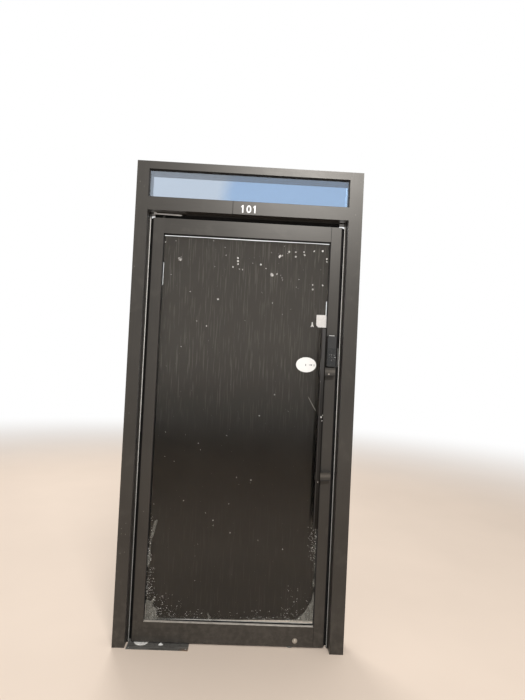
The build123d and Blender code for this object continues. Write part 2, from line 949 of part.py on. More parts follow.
def bracket_outline(side):
    """The cranked plan of a bracket: a block on the stile and an arm behind the bar."""
    near = side * leaf_thickness / 2
    block_y = side * (leaf_thickness / 2 + bracket_block_depth)
    bar_y = side * pull_bar_rear
    arm_y = side * (pull_bar_rear - bracket_arm_thickness)
    right = lock_stile_middle + bracket_width / 2
    left = lock_stile_middle - bracket_width / 2
    bar_right = pull_bar_x + pull_bar_size / 2
    bar_left = pull_bar_x - pull_bar_size / 2
    points = [
        (right, near), (right, block_y), (bar_right, bar_y), (bar_left, bar_y),
        (bar_left, arm_y), (left, block_y - side * bracket_arm_thickness), (left, near),
    ]
    return make_face(Polyline(*points, close=True))


def brackets(side):
    """The two brackets of one pull bar."""
    holes = handle_bolts(hole_clearance)
    bodies = []
    for z in bracket_heights:
        plan = Pos(0, 0, z - bracket_height / 2) * bracket_outline(side)
        bodies.append(cut(extrude(plan, bracket_height), holes))
    return group(bodies)


def handle_bolts(clearance=0.0):
    """Bolts right through the stile, from one bracket into the other."""
    reach = leaf_thickness / 2 + bracket_block_depth / 2
    diameter = through_bolt_diameter + 2 * clearance
    length = 2 * (reach + clearance)
    return [
        rod(diameter, (lock_stile_middle, -reach - clearance, z), BACKWARD, length)
        for z in bracket_heights
    ]


def make_bar_end_caps():
    """Caps with a plug, in both ends of both bars."""
    caps = []
    bore = pull_bar_size - 2 * pull_bar_wall - 2 * hole_clearance
    for side in (-1, 1):
        y = side * (pull_bar_rear + pull_bar_size / 2)
        for z, way in ((pull_bar_bottom, -1), (pull_bar_bottom + pull_bar_length, 1)):
            lid = extrude(
                Pos(pull_bar_x, y, z) * RectangleRounded(pull_bar_size, pull_bar_size, pull_bar_corner),
                way * bar_cap_thickness,
            )
            plug = extrude(Pos(pull_bar_x, y, z) * Rectangle(bore, bore), -way * bar_cap_plug)
            caps.append(lid + plug)
    return group(caps)


# Keypad lock

def lock_shell(side, depth):
    """A hollow lock cover with rounded corners and a bevelled front."""
    face = Plane(
        (lock_stile_middle, side * leaf_thickness / 2, lock_middle_z),
        x_dir=(1, 0, 0), z_dir=(0, side, 0),
    )
    body = extrude(face * RectangleRounded(lock_width, lock_height, lock_corner), depth)
    front = body.faces().sort_by(Axis.Y)[0 if side < 0 else -1]
    body = chamfer(front.edges(), lock_bevel)
    room = Rectangle(lock_width - 2 * lock_body_wall, lock_height - 2 * lock_body_wall)
    return body - extrude(face * room, depth - lock_bevel - lock_body_wall)


def keypad_box(grow=0.0):
    """The touch plate, let into the front of the lock."""
    front = leaf_front - lock_front_depth
    low = lock_bottom + keypad_rise
    return block(
        across(lock_stile_middle, keypad_width + 2 * grow),
        (front - (keypad_thickness - keypad_sink), front + keypad_sink),
        (low - grow, low + keypad_height + grow),
    )


def make_lock_front_body():
    return lock_shell(-1, lock_front_depth) - keypad_box(hole_clearance)


def make_keypad_plate():
    """The touch plate with three by four finger marks."""
    body = keypad_box()
    face_y = leaf_front - lock_front_depth - (keypad_thickness - keypad_sink)
    middle = lock_bottom + keypad_rise + keypad_height / 2
    for column in (-1, 0, 1):
        for row in (-1.5, -0.5, 0.5, 1.5):
            start = (
                lock_stile_middle + column * key_pitch_x, face_y,
                middle - key_rows_drop + row * key_pitch_z,
            )
            body -= rod(key_diameter, start, BACKWARD, key_mark_depth)
    return body


def make_lock_back_body():
    return lock_shell(1, lock_back_depth) - turn_stem(hole_clearance)


def bolt_shape(clearance, first, last):
    """The section of the deadbolt between two X values."""
    return block(
        (first, last),
        across(lock_case_offset, bolt_thickness + 2 * clearance),
        across(bolt_z, bolt_height + 2 * clearance),
    )


def make_lock_case():
    """The mortise case inside the lock stile."""
    x = (lock_chamber_left, lock_chamber_right)
    y = across(lock_case_offset, lock_case_thickness)
    z = across(lock_middle_z, lock_case_height)
    wall = lock_case_wall
    body = block(x, y, z)
    body -= block((x[0] + wall, x[1] - wall), (y[0] + wall, y[1] - wall), (z[0] + wall, z[1] - wall))
    body -= bolt_shape(bolt_clearance, x[1] - wall, x[1])
    return body - turn_stem(hole_clearance)


def make_deadbolt():
    return bolt_shape(0.0, bolt_end - bolt_length, bolt_end)


def turn_stem(clearance=0.0):
    """The round stem of the thumbturn, from its knob into the lock case."""
    start = (turn_x, lock_case_offset, turn_z)
    length = leaf_back + lock_back_depth - lock_case_offset
    return rod(turn_stem_diameter + 2 * clearance, start, BACKWARD, length)


def make_thumbturn():
    """The knob inside, its stem and the cam in the lock case."""
    face_y = leaf_back + lock_back_depth
    body = turn_stem() + rod(turn_knob_diameter, (turn_x, face_y, turn_z), BACKWARD, turn_knob_depth)
    grip_y = (face_y + turn_knob_depth, face_y + turn_knob_depth + turn_grip_depth)
    body += block(
        across(turn_x, turn_grip_width), grip_y, across(turn_z, turn_knob_diameter - 2 * turn_grip_inset)
    )
    cam_y = across(lock_case_offset, turn_cam_width)
    return body + block(across(turn_x, turn_cam_width), cam_y, (turn_z, turn_z + turn_cam_length))


def make_strike_keeper():
    """The keeper on the jamb that the deadbolt enters."""
    back = opening_right - carrier_flange
    front = opening_right - keeper_proud
    body = block(
        (front, back), across(lock_case_offset, keeper_width), across(bolt_z, keeper_height)
    )
    clear = keeper_mouth_clearance
    body -= block(
        (front, thrown_end + keeper_tip_room),
        across(lock_case_offset, bolt_thickness + 2 * clear),
        across(bolt_z, bolt_height + 2 * clear),
    )
    return cut(body, keeper_screws(hole_clearance))


# Bottom-rail lock

def make_floor_lock_case():
    """The lock case in the bottom rail, with the fixed collar round the key plug."""
    margin = floor_lock_case_margin
    x = (floor_bolt_x - margin, floor_lock_x + margin)
    body = block(
        x, across(0, floor_lock_case_depth), (rail_floor, rail_floor + floor_lock_case_height)
    )
    front = leaf_front - floor_lock_collar_proud
    centre = (floor_lock_x, front, floor_lock_z)
    body += rod(floor_lock_collar_diameter, centre, BACKWARD, -front)
    plug_bore = plug_diameter + 2 * running_clearance
    body -= rod(plug_bore, centre, BACKWARD, plug_depth)
    bolt_bore = floor_bolt_diameter + 2 * running_clearance
    bore_length = floor_bolt_lift + floor_bolt_length + floor_bolt_top_room
    return body - rod(bolt_bore, (floor_bolt_x, 0, leaf_bottom), UP_IN, bore_length)


def make_floor_lock_plug():
    """The part that the key turns."""
    front = leaf_front - floor_lock_collar_proud - plug_proud
    body = rod(plug_diameter, (floor_lock_x, front, floor_lock_z), BACKWARD, plug_depth)
    slot = block(
        across(floor_lock_x, key_slot_width), (front, front + key_slot_depth),
        across(floor_lock_z, key_slot_height),
    )
    return body - slot


def make_floor_bolt():
    """The round bolt that drops into the floor socket."""
    low = leaf_bottom + floor_bolt_lift
    body = rod(floor_bolt_diameter, (floor_bolt_x, 0, low), UP_IN, floor_bolt_length)
    return chamfer(body.edges().sort_by(Axis.Z)[0], floor_bolt_chamfer)


# Stickers

def sticker_plane(inset, z):
    """A plane on the glass, its middle so far in from the lock stile."""
    return Plane((sight_right - inset, glass_front, z), x_dir=(1, 0, 0), z_dir=FORWARD)


def make_oval_sign():
    return extrude(
        sticker_plane(oval_inset, oval_z) * Ellipse(oval_width / 2, oval_height / 2), oval_thickness
    )


def make_paper_labels():
    """A label with a torn corner, and a scrap left from another."""
    right, up = label_width / 2, label_height / 2
    label_points = [
        (-right, up), (right, up), (right, -up), (label_tear - right, -up), (-right, label_tear - up),
    ]
    label = make_face(Polyline(*label_points, close=True))
    side, top, arm = scrap_width / 2, scrap_height / 2, scrap_arm
    scrap_points = [
        (-arm / 2, top), (arm / 2, top), (arm / 2, 0), (side, -top), (side - arm, -top),
        (0, -arm), (arm - side, -top), (-side, -top), (-arm / 2, 0),
    ]
    scrap = make_face(Polyline(*scrap_points, close=True))
    return group([
        extrude(sticker_plane(label_inset, label_z) * label, sticker_thickness),
        extrude(sticker_plane(scrap_inset, scrap_z) * scrap, sticker_thickness),
    ])


def frame_parts():
    """What stays with the building."""
    x, z = transom_sight()
    return {
        "jamb_left": make_jamb_left(),
        "jamb_right": make_jamb_right(),
        "head_rail": make_head_rail(),
        "transom_bar": make_transom_bar(),
        "transom_cladding": make_transom_cladding(),
        "transom_glass": glass_pane(x, z, glass_edge_cover, transom_glass_y),
        "transom_gasket_front": transom_gasket(x, z, True),
        "transom_gasket_rear": transom_gasket(x, z, False),
        "transom_setting_blocks": setting_blocks(x, bar_top, frame_pocket_depth, transom_glass_y),
        "frame_cleats": make_frame_cleats(),
        "frame_screws": make_frame_screws(),
        "plate_screws": make_plate_screws(),
        "door_number": make_door_number(),
        "brush_carrier_left": side_seal(carrier_section(), opening_left, LEFT_IN),
        "brush_carrier_right": make_brush_carrier_right(),
        "brush_carrier_top": top_seal(carrier_section()),
        "brush_pile_left": make_brush_pile_left(),
        "brush_pile_right": make_brush_pile_right(),
        "brush_pile_top": make_brush_pile_top(),
        "strike_keeper": make_strike_keeper(),
        "top_pivot_plate": make_top_pivot_plate(),
        "top_pivot_pin": make_top_pivot_pin(),
        "floor_case": make_floor_case(),
        "closer_body": make_closer_body(),
        "closer_bolts": group(closer_bolts()),
        "spindle_bearing": make_spindle_bearing(),
        "cover_plate": make_cover_plate(),
        "spindle_ring": make_spindle_ring(),
        "floor_bolt_socket": make_floor_bolt_socket(),
    }


def leaf_parts():
    """What swings, with the bolts and keys that it carries."""
    x, z = leaf_sight()
    return {
        "hinge_stile": make_hinge_stile(),
        "lock_stile": make_lock_stile(),
        "top_rail": make_top_rail(),
        "bottom_rail": make_bottom_rail(),
        "corner_blocks": make_corner_blocks(),
        "leaf_screws": make_leaf_screws(),
        "door_glass": glass_pane(x, z, glass_edge_cover),
        "dark_film": make_dark_film(),
        "glazing_gasket_front": gasket_ring(x, z, leaf_pocket_width, True),
        "glazing_gasket_rear": gasket_ring(x, z, leaf_pocket_width, False),
        "setting_blocks": setting_blocks(x, sight_bottom, leaf_pocket_depth),
        "top_pivot_socket": make_top_pivot_socket(),
        "bottom_arm": make_bottom_arm(),
        "floor_spindle": make_floor_spindle(),
        "pull_bar_outer": pull_bar(-1),
        "pull_bar_inner": pull_bar(1),
        "handle_brackets_outer": brackets(-1),
        "handle_brackets_inner": brackets(1),
        "handle_bolts": group(handle_bolts()),
        "bar_end_caps": make_bar_end_caps(),
        "lock_case": make_lock_case(),
        "lock_front_body": make_lock_front_body(),
        "keypad_plate": make_keypad_plate(),
        "lock_back_body": make_lock_back_body(),
        "floor_lock_case": make_floor_lock_case(),
        "oval_sign": make_oval_sign(),
        "paper_labels": make_paper_labels(),
        "thumbturn": make_thumbturn(),
        "deadbolt": make_deadbolt(),
        "floor_lock_plug": make_floor_lock_plug(),
        "floor_bolt": make_floor_bolt(),
    }


def main():
    """Write one file for each piece."""
    os.makedirs("parts", exist_ok=True)
    for name, shape in {**frame_parts(), **leaf_parts()}.items():
        export_step(shape, f"parts/{name}.step")


main()
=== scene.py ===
"""Dressed model of a glass entrance door: metal finishes, glass, film, brushes, lock, signs and stage."""

import math
import random
from functools import cache, reduce
from operator import or_

import bmesh
import bpy
from bpy.props import FloatProperty, FloatVectorProperty, PointerProperty
from mathutils import Matrix, Vector


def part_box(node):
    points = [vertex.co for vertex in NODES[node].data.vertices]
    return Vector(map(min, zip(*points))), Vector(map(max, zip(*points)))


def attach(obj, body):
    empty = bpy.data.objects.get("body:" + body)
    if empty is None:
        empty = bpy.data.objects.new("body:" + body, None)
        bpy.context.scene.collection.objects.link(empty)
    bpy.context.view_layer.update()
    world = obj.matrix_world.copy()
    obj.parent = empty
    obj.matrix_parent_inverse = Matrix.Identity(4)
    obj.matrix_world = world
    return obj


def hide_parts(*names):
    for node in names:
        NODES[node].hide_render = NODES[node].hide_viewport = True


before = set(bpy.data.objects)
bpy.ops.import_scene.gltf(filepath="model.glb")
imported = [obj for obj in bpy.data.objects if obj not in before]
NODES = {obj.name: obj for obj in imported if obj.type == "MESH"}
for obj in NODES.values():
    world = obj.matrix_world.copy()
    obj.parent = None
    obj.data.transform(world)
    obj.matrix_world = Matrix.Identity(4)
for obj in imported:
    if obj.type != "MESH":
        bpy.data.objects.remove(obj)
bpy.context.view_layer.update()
MM = 0.001

bl_info = {
    "name": "Glass entrance door",
    "version": (1, 0, 0),
    "blender": (4, 5, 0),
    "location": "View3D > Sidebar > Door",
    "description": "Dresses a glass entrance door with its finishes, brushes, marks and stage",
    "category": "Object",
}


def both_ways(operation):
    """An operator's method and its reflected form, each of which adds one Math node."""
    return (
        lambda self, other: self.maths(operation, self, other),
        lambda self, other: self.maths(operation, other, self),
    )


class Value:
    """One output of a node. Python's operators on it add Math nodes."""

    def __init__(self, nodes, socket):
        self.nodes = nodes
        self.socket = socket

    def maths(self, operation, *values):
        return self.nodes.node("ShaderNodeMath", {"operation": operation}, dict(enumerate(values)))

    __add__, __radd__ = both_ways("ADD")
    __sub__, __rsub__ = both_ways("SUBTRACT")
    __mul__, __rmul__ = both_ways("MULTIPLY")
    __truediv__, __rtruediv__ = both_ways("DIVIDE")
    __and__, __rand__ = both_ways("MINIMUM")
    __or__, __ror__ = both_ways("MAXIMUM")

    def __abs__(self):
        return self.maths("ABSOLUTE", self)

    def slope(self, low, high, first=0.0, last=1.0):
        """A soft step of the value from low to high."""
        sockets = {0: self, 1: low, 2: high, 3: first, 4: last}
        return self.nodes.node("ShaderNodeMapRange", {"interpolation_type": "SMOOTHSTEP"}, sockets)

    def between(self, low, high, soft):
        """One where the value is from low to high, with soft sides."""
        return self.slope(low - soft, low + soft) - self.slope(high - soft, high + soft)


class Nodes:
    """Adds nodes to one tree, each through the same method."""

    def __init__(self, tree):
        self.tree = tree

    def node(self, kind, settings=None, sockets=None, out=0):
        made = self.tree.nodes.new(kind)
        for name, value in (settings or {}).items():
            setattr(made, name, value)
        for name, value in (sockets or {}).items():
            self.feed(made.inputs[name], value)
        return None if out is None else Value(self, made.outputs[out])

    def feed(self, socket, value):
        if isinstance(value, Value):
            self.tree.links.new(value.socket, socket)
        elif socket.type == "RGBA":
            socket.default_value = (*tuple(value)[:3], 1)
        else:
            socket.default_value = value


class Finish(Nodes):
    """A procedural material on Object coordinates, in metres from the floor under the pivot."""

    def __init__(self, name, **constants):
        self.material = bpy.data.materials.new(name)
        self.material.use_nodes = True
        super().__init__(self.material.node_tree)
        self.surface = self.tree.nodes["Principled BSDF"]
        self.place = self.node("ShaderNodeTexCoord", out="Object")
        parts = self.node("ShaderNodeSeparateXYZ", None, {0: self.place}).socket.node.outputs
        self.x, self.y, self.z = [Value(self, part) for part in parts]
        for name, value in constants.items():
            self.put(name.replace("_", " ").title(), value)

    def put(self, socket, value):
        """Sets or links one socket of the surface shader."""
        socket = {"Ior": "IOR", "Specular": "Specular IOR Level"}.get(socket, socket)
        self.feed(self.surface.inputs[socket], value)

    def noise(self, scale, detail=2, rough=0.5, stretch=None, bend=0):
        vector = self.place
        if stretch:
            vector = self.node("ShaderNodeMapping", None, {"Vector": self.place, "Scale": stretch})
        sockets = {"Vector": vector, "Scale": scale, "Detail": detail, "Roughness": rough, "Distortion": bend}
        return self.node("ShaderNodeTexNoise", None, sockets, "Fac")

    def cells(self, scale, out="Distance"):
        return self.node("ShaderNodeTexVoronoi", None, {"Vector": self.place, "Scale": scale}, out)

    def far(self, x, y):
        """How far a place is from the middle, when it is so far from it both ways."""
        offset = self.node("ShaderNodeCombineXYZ", None, {"X": x, "Y": y})
        return self.node("ShaderNodeVectorMath", {"operation": "LENGTH"}, {0: offset}, "Value")

    def blend(self, share, first, second):
        """The base colour, mixed from two."""
        sockets = {0: share, 6: first, 7: second}
        self.base = self.node("ShaderNodeMix", {"data_type": "RGBA"}, sockets, 2)
        self.put("Base Color", self.base)

    def layer(self, share, colour):
        """One more colour on the base colour."""
        self.blend(share, self.base, colour)

    def bump(self, height, strength, distance):
        sockets = {"Height": height, "Strength": strength, "Distance": distance}
        self.put("Normal", self.node("ShaderNodeBump", None, sockets))


def sized(colour, factor):
    """A colour made lighter or darker."""
    return tuple(min(1, part * factor) for part in colour)


def shades(colour, low, high):
    return sized(colour, low), sized(colour, high)


def settings():
    return bpy.context.scene.entrance_door


def sight():
    """Left, right, bottom and top of the door glass that shows between its gaskets."""
    low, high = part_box("door_glass")
    edge = 12 * MM
    return low.x + edge, high.x - edge, low.z + edge, high.z - edge


def paint(finish, *nodes):
    """Gives CAD nodes their finish."""
    for node in nodes:
        for slot in NODES[node].material_slots:
            slot.material = finish.material


def two_tone(name, grain, first, second, roughness=0.5, ior=1.45, step=None, bump=None, **constants):
    """A finish of two colours mixed by a noise, with grain its scale, detail and roughness."""
    finish = Finish(name, roughness=roughness, ior=ior, **constants)
    finish.grain = finish.noise(*grain)
    finish.blend(finish.grain.slope(*step) if step else finish.grain, first, second)
    if bump:
        finish.bump(finish.grain, *bump)
    return finish


def metal_finish(name, specks, upright=True, dirt=False, rubber=None, dust_and_highlight=None, **own):
    """Dark satin coated metal with fine drawn streaks, a grain, soft tone changes and dust.

    rubber(finish) is where the metal is painted near black, for a dark joint and for painted shade;
    dust_and_highlight(finish) is where it is painted pale, for dust and for painted highlights."""
    colour = own.get("colour", settings().metal_colour)
    roughness = own.get("roughness", settings().metal_roughness)
    finish = Finish(name, metallic=0, ior=1.48, specular_tint=(1, 0.95, 0.88))
    streaks = finish.noise(420, 3, 0.6, (1, 1, 0.02) if upright else (0.02, 1, 1))
    smudge = finish.noise(9, 4, 0.6, None, 0.6)
    tone = 0.72 + streaks * 0.2 + finish.noise(2.6, 3, 0.55) * 0.34
    finish.blend(tone.slope(0.8, 1.2), *shades(colour, 0.62, 1.35))
    finish.layer(smudge.slope(0.56, 0.72) * 0.35, sized(colour, 1.75))
    if dirt:
        dust = finish.z.slope(0.32, 0) * finish.noise(38, 5, 0.7).slope(0.38, 0.7)
        finish.layer(dust * 0.28, (0.12, 0.105, 0.088))
    if specks:
        some = finish.cells(150, "Color").slope(1 - specks, 1 - specks + 0.01)
        finish.layer((finish.cells(150).slope(0.24, 0.14) & some) * 0.7, (0.42, 0.4, 0.36))
    # Pale dust, and on some parts a painted highlight.
    if dust_and_highlight:
        unevenness = finish.noise(30, 4, 0.6).slope(0.25, 0.7)
        finish.layer(dust_and_highlight(finish) * (0.55 + unevenness * 0.45), (0.52, 0.47, 0.41))
    rough = roughness - 0.06 + streaks * 0.1 + smudge * 0.08
    # A near-black layer: a dark joint on the cladding, painted shade elsewhere.
    if rubber:
        strip = rubber(finish)
        finish.layer(strip, (0.008, 0.008, 0.008))
        rough = rough + strip * 0.3
    finish.put("Roughness", rough)
    finish.bump(finish.noise(1400, 2, 0.5) * 0.6 + streaks * 0.4, 0.22, 0.00012)
    return finish


def bare_metal(name, colour, roughness, drawn=(1, 1, 1), stain=(0.2, 0.13, 0.08)):
    """Uncoated metal with a brushed grain, light stains and dull patches."""
    finish = two_tone(name, (700, 3, 0.6, drawn), *shades(colour, 0.78, 1.12), ior=1.5, metallic=1)
    patches = finish.noise(34, 5, 0.65, None, 0.4)
    finish.layer(patches.slope(0.55, 0.78) * 0.2, stain)
    finish.put("Roughness", roughness - 0.08 + finish.grain * 0.12 + patches * 0.14)
    finish.bump(finish.grain * 0.5 + patches * 0.5, 0.3, 0.0002)
    return finish


@cache
def zinc_steel():
    """One finish for all zinc-plated fixings."""
    return bare_metal("zinc_steel", (0.52, 0.52, 0.5), 0.36)


def rubber_finish(name, dust_top=None):
    """Black rubber, with dust on it below the height dust_top."""
    black = (0.012, 0.0115, 0.011)
    finish = two_tone(name, (900, 3, 0.6), *shades(black, 0.8, 1.25), ior=1.5, bump=(0.25, 0.0002))
    dust = finish.noise(26, 5, 0.7)
    finish.layer(dust.slope(0.52, 0.75) * 0.3, (0.09, 0.085, 0.075))
    if dust_top:
        low = finish.z.slope(dust_top, dust_top - 0.004)
        finish.layer(low * (0.6 + dust.slope(0.3, 0.7) * 0.4), (0.36, 0.32, 0.28))
    finish.put("Roughness", 0.6 + finish.grain * 0.14)
    return finish


def colour(name, description, default):
    limits = {"subtype": "COLOR", "min": 0, "max": 1}
    return FloatVectorProperty(name=name, description=description, default=default, **limits)


def number(name, description, default, subtype="DISTANCE", **limits):
    limits |= {"subtype": subtype, "min": 0}
    return FloatProperty(name=name, description=description, default=default, **limits)


class DoorSettings(bpy.types.PropertyGroup):
    """Colours and sizes of the door that a user would change."""

    metal_colour: colour("Metal colour", "Colour of the coated frame and leaf", (0.03, 0.0272, 0.0238))
    metal_roughness: number("Metal roughness", "How dull the coated metal is", 0.35, "FACTOR", max=1)
    bar_colour: colour("Pull bar colour", "Colour of the coated pull bars", (0.02, 0.018, 0.016))
    lock_colour: colour("Lock colour", "Colour of the lock bodies", (0.013, 0.0122, 0.0115))
    film_colour: colour("Film colour", "Colour of the film behind the glass", (0.003, 0.0028, 0.0025))
    film_gap: number("Film gap", "Clear glass above the film", 7.5 * MM)
    film_low_gap: number("Low film gap", "Clear glass under the film, at the lock side", 17 * MM)
    light_glass_colour: colour("Transom glass colour", "Tint of the glass over the leaf", (0.215, 0.37, 0.62))
    residue_colour: colour("Residue colour", "Colour of dust and old glue on the glass", (0.2, 0.195, 0.172))
    fleck_share: number("Fleck share", "How many of the small flecks are there", 1, "FACTOR", max=1)
    fleck_size: number("Fleck size", "Radius of the largest small fleck", 2.3 * MM)
    pile_colour: colour("Brush colour", "Colour of the side brushes", (0.84, 0.82, 0.78))
    bristle_spacing: number("Bristle spacing", "Distance between two bristles in a row", 1.3 * MM)
    bristle_width: number("Bristle width", "Width of one bristle tuft at its root", 1.3 * MM)
    bristle_wave: number("Bristle wave", "How far the brush tips wander", 2.6 * MM)
    sign_colour: colour("Sign colour", "Colour of the oval sign", (0.84, 0.84, 0.82))
    paper_colour: colour("Paper colour", "Colour of the paper labels", (0.6, 0.585, 0.56))
    paper_lift: number("Paper lift", "How far the torn corner lifts off the glass", 1.2 * MM)
    lamp_power: number("Lamp power", "Power of the front lamp", 190, "POWER", unit="POWER")
    floor_colour: colour("Floor colour", "Plain pale colour of the floor", (0.74, 0.61, 0.5))


def placed(name, data):
    """A new object in the scene, its data named after it."""
    data.name = name
    made = bpy.data.objects.new(name, data)
    bpy.context.scene.collection.objects.link(made)
    return made


def plain_mesh(points, edges=(), faces=()):
    mesh = bpy.data.meshes.new("plain")
    mesh.from_pydata(points, edges, faces)
    return mesh


def written(work):
    """The mesh of a bmesh, which is freed."""
    mesh = bpy.data.meshes.new("written")
    work.to_mesh(mesh)
    work.free()
    return mesh


def evaluated(holder):
    """The plain mesh that an object gives with its modifiers. The object is removed."""
    bpy.context.view_layer.update()
    ready = holder.evaluated_get(bpy.context.evaluated_depsgraph_get())
    mesh = bpy.data.meshes.new_from_object(ready)
    holder.modifiers.clear()
    bpy.data.objects.remove(holder)
    return mesh


def add_piece(name, finish, body, slot, *meshes):
    """A new piece of one or more meshes, riding on a body."""
    work = bmesh.new()
    for mesh in meshes:
        work.from_mesh(mesh)
    piece = placed(name, written(work))
    piece.data.materials.clear()
    piece.data.materials.append(finish.material)
    piece.data.shade_flat()
    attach(piece, body)
    return piece


def closed_mesh(points, faces):
    """A mesh with merged doubles and faces that point outwards."""
    work = bmesh.new()
    made = [work.verts.new(point) for point in points]
    for face in faces:
        work.faces.new([made[index] for index in face])
    bmesh.ops.remove_doubles(work, verts=work.verts, dist=1e-7)
    bmesh.ops.recalc_face_normals(work, faces=work.faces)
    return written(work)


def ring_faces(count, rings):
    """Faces that join each ring of points to the next."""
    starts = range(0, (rings - 1) * count, count)
    pairs = [(start + step, start + (step + 1) % count) for start in starts for step in range(count)]
    return [(here, here + count, after + count, after) for here, after in pairs]


def thick_mesh(front, back, faces):
    """A closed mesh from front points, the back points that match them and the faces of the front."""
    count = len(front)
    edges = [(face[i - 1], face[i]) for face in faces for i in range(len(face))]
    known = set(edges)
    rim = [(a, b, b + count, a + count) for a, b in edges if (b, a) not in known]
    backs = [[count + i for i in (face[0], *face[:0:-1])] for face in faces]
    return closed_mesh([*front, *back], [*faces, *backs, *rim])


def plate_mesh(outline, front, back):
    """A flat plate in the XZ plane from an outline in metres, between two Y depths."""
    sides = [[(x, y, z) for x, z in outline] for y in (front, back)]
    return thick_mesh(*sides, [range(len(outline))])


def box_mesh(x, y, z):
    return plate_mesh([(x[0], z[0]), (x[1], z[0]), (x[1], z[1]), (x[0], z[1])], *y)


def sheet_mesh(columns, rows, place, depth):
    """A sheet of columns by rows cells; place gives the point of each corner, depth its thickness along Y."""
    front = [place(column / columns, row / rows) for row in range(rows + 1) for column in range(columns + 1)]
    wide = columns + 1
    starts = [row * wide + column for row in range(rows) for column in range(columns)]
    faces = [(a, a + 1, a + wide + 1, a + wide) for a in starts]
    return thick_mesh(front, [(x, y + depth, z) for x, y, z in front], faces)


def letters_mesh(text, centre, height, front, back):
    """Upright text in the XZ plane, centred on a point, facing the front."""
    curve = bpy.data.curves.new("letters", "FONT")
    curve.body = text
    curve.size = height
    curve.align_x = "CENTER"
    curve.align_y = "CENTER"
    curve.extrude = (back - front) / 2
    mesh = evaluated(placed("letters", curve))
    upright = Matrix.Rotation(math.pi / 2, 4, "X")
    mesh.transform(Matrix.Translation((centre[0], (front + back) / 2, centre[1])) @ upright)
    return mesh


def circle(count, radius, x=0, y=0):
    """Points of a circle round a middle."""
    angles = [2 * math.pi * step / count for step in range(count)]
    return [(x + radius * math.cos(angle), y + radius * math.sin(angle)) for angle in angles]


def screw_head_shape(diameter, recess, hexagon):
    """A low round screw head with a cross or a hexagon sunk into it, at the origin, facing Z."""
    count = 24
    rim = 0.3 * MM

    def reach(x, y):
        if hexagon:
            return recess / math.cos((math.atan2(y, x) % (math.pi / 3)) - math.pi / 6)
        return recess if max(abs(x), abs(y)) > 0.93 else recess * 0.42

    around = circle(count, 1)
    radius = diameter / 2
    rings = ((radius, -1.5 * MM), (radius, -rim), (radius - rim, 0))
    points = [(x * size, y * size, z) for size, z in rings for x, y in around]
    for share, z in ((1, 0.1 * MM), (0.8, -1.1 * MM)):
        points += [(x * reach(x, y) * share, y * reach(x, y) * share, z) for x, y in around]
    faces = [range(count), *ring_faces(count, 5), range(4 * count, 5 * count)]
    return bpy.data.objects.new("screw_head_shape", closed_mesh(points, faces))


def soften(node, width):
    """Rounds the edges of a CAD node slightly, so that they catch the light."""
    NODES[node].modifiers.new("weld", "WELD").merge_threshold = 0.00001
    bevel = NODES[node].modifiers.new("soft_edges", "BEVEL")
    bevel.width = width
    bevel.segments = 2
    bevel.limit_method = "ANGLE"
    bevel.angle_limit = math.radians(40)


class Growth(Nodes):
    """A Geometry Nodes tree, its named inputs its attributes. It places one shape on many points."""

    def __init__(self, name, **inputs):
        self.group = bpy.data.node_groups.new(name, "GeometryNodeTree")
        super().__init__(self.group)
        sockets = {"geometry": "Geometry", **inputs, "finish": "Material"}
        for item, kind in sockets.items():
            self.group.interface.new_socket(item.title(), in_out="INPUT", socket_type="NodeSocket" + kind)
        self.group.interface.new_socket("Geometry", in_out="OUTPUT", socket_type="NodeSocketGeometry")
        entry = self.tree.nodes.new("NodeGroupInput")
        for item in sockets:
            setattr(self, item, Value(self, entry.outputs[item.title()]))

    def chance(self, low, high, seed):
        """A random number for each point."""
        sockets = {2: low, 3: high, "Seed": seed}
        return self.node("FunctionNodeRandomValue", {"data_type": "FLOAT"}, sockets, 1)

    def facing(self, way):
        return self.node("FunctionNodeAlignRotationToVector", {"axis": "Z"}, {"Vector": way})

    def vector_maths(self, operation, first, second):
        return self.node("ShaderNodeVectorMath", {"operation": operation}, {0: first, 1: second})

    def close(self, points, shape, turn, scale=(1, 1, 1)):
        """Ends the tree with the shape on each point, as plain faces with their material."""
        sockets = {"Points": points, "Instance": shape, "Rotation": turn, "Scale": scale}
        many = self.node("GeometryNodeInstanceOnPoints", None, sockets)
        plain = self.node("GeometryNodeRealizeInstances", None, {0: many})
        dressed = self.node("GeometryNodeSetMaterial", None, {"Geometry": plain, "Material": self.finish})
        self.node("NodeGroupOutput", None, {0: dressed}, None)
        return self

    def grow(self, start, **values):
        """Runs the tree on a mesh with the inputs given by name, and returns the new mesh."""
        holder = placed("growth_start", start)
        modifier = holder.modifiers.new("growth", "NODES")
        modifier.node_group = self.group
        for item in self.group.interface.items_tree:
            if item.name.lower() in values:
                modifier[item.identifier] = values[item.name.lower()]
        return evaluated(holder)


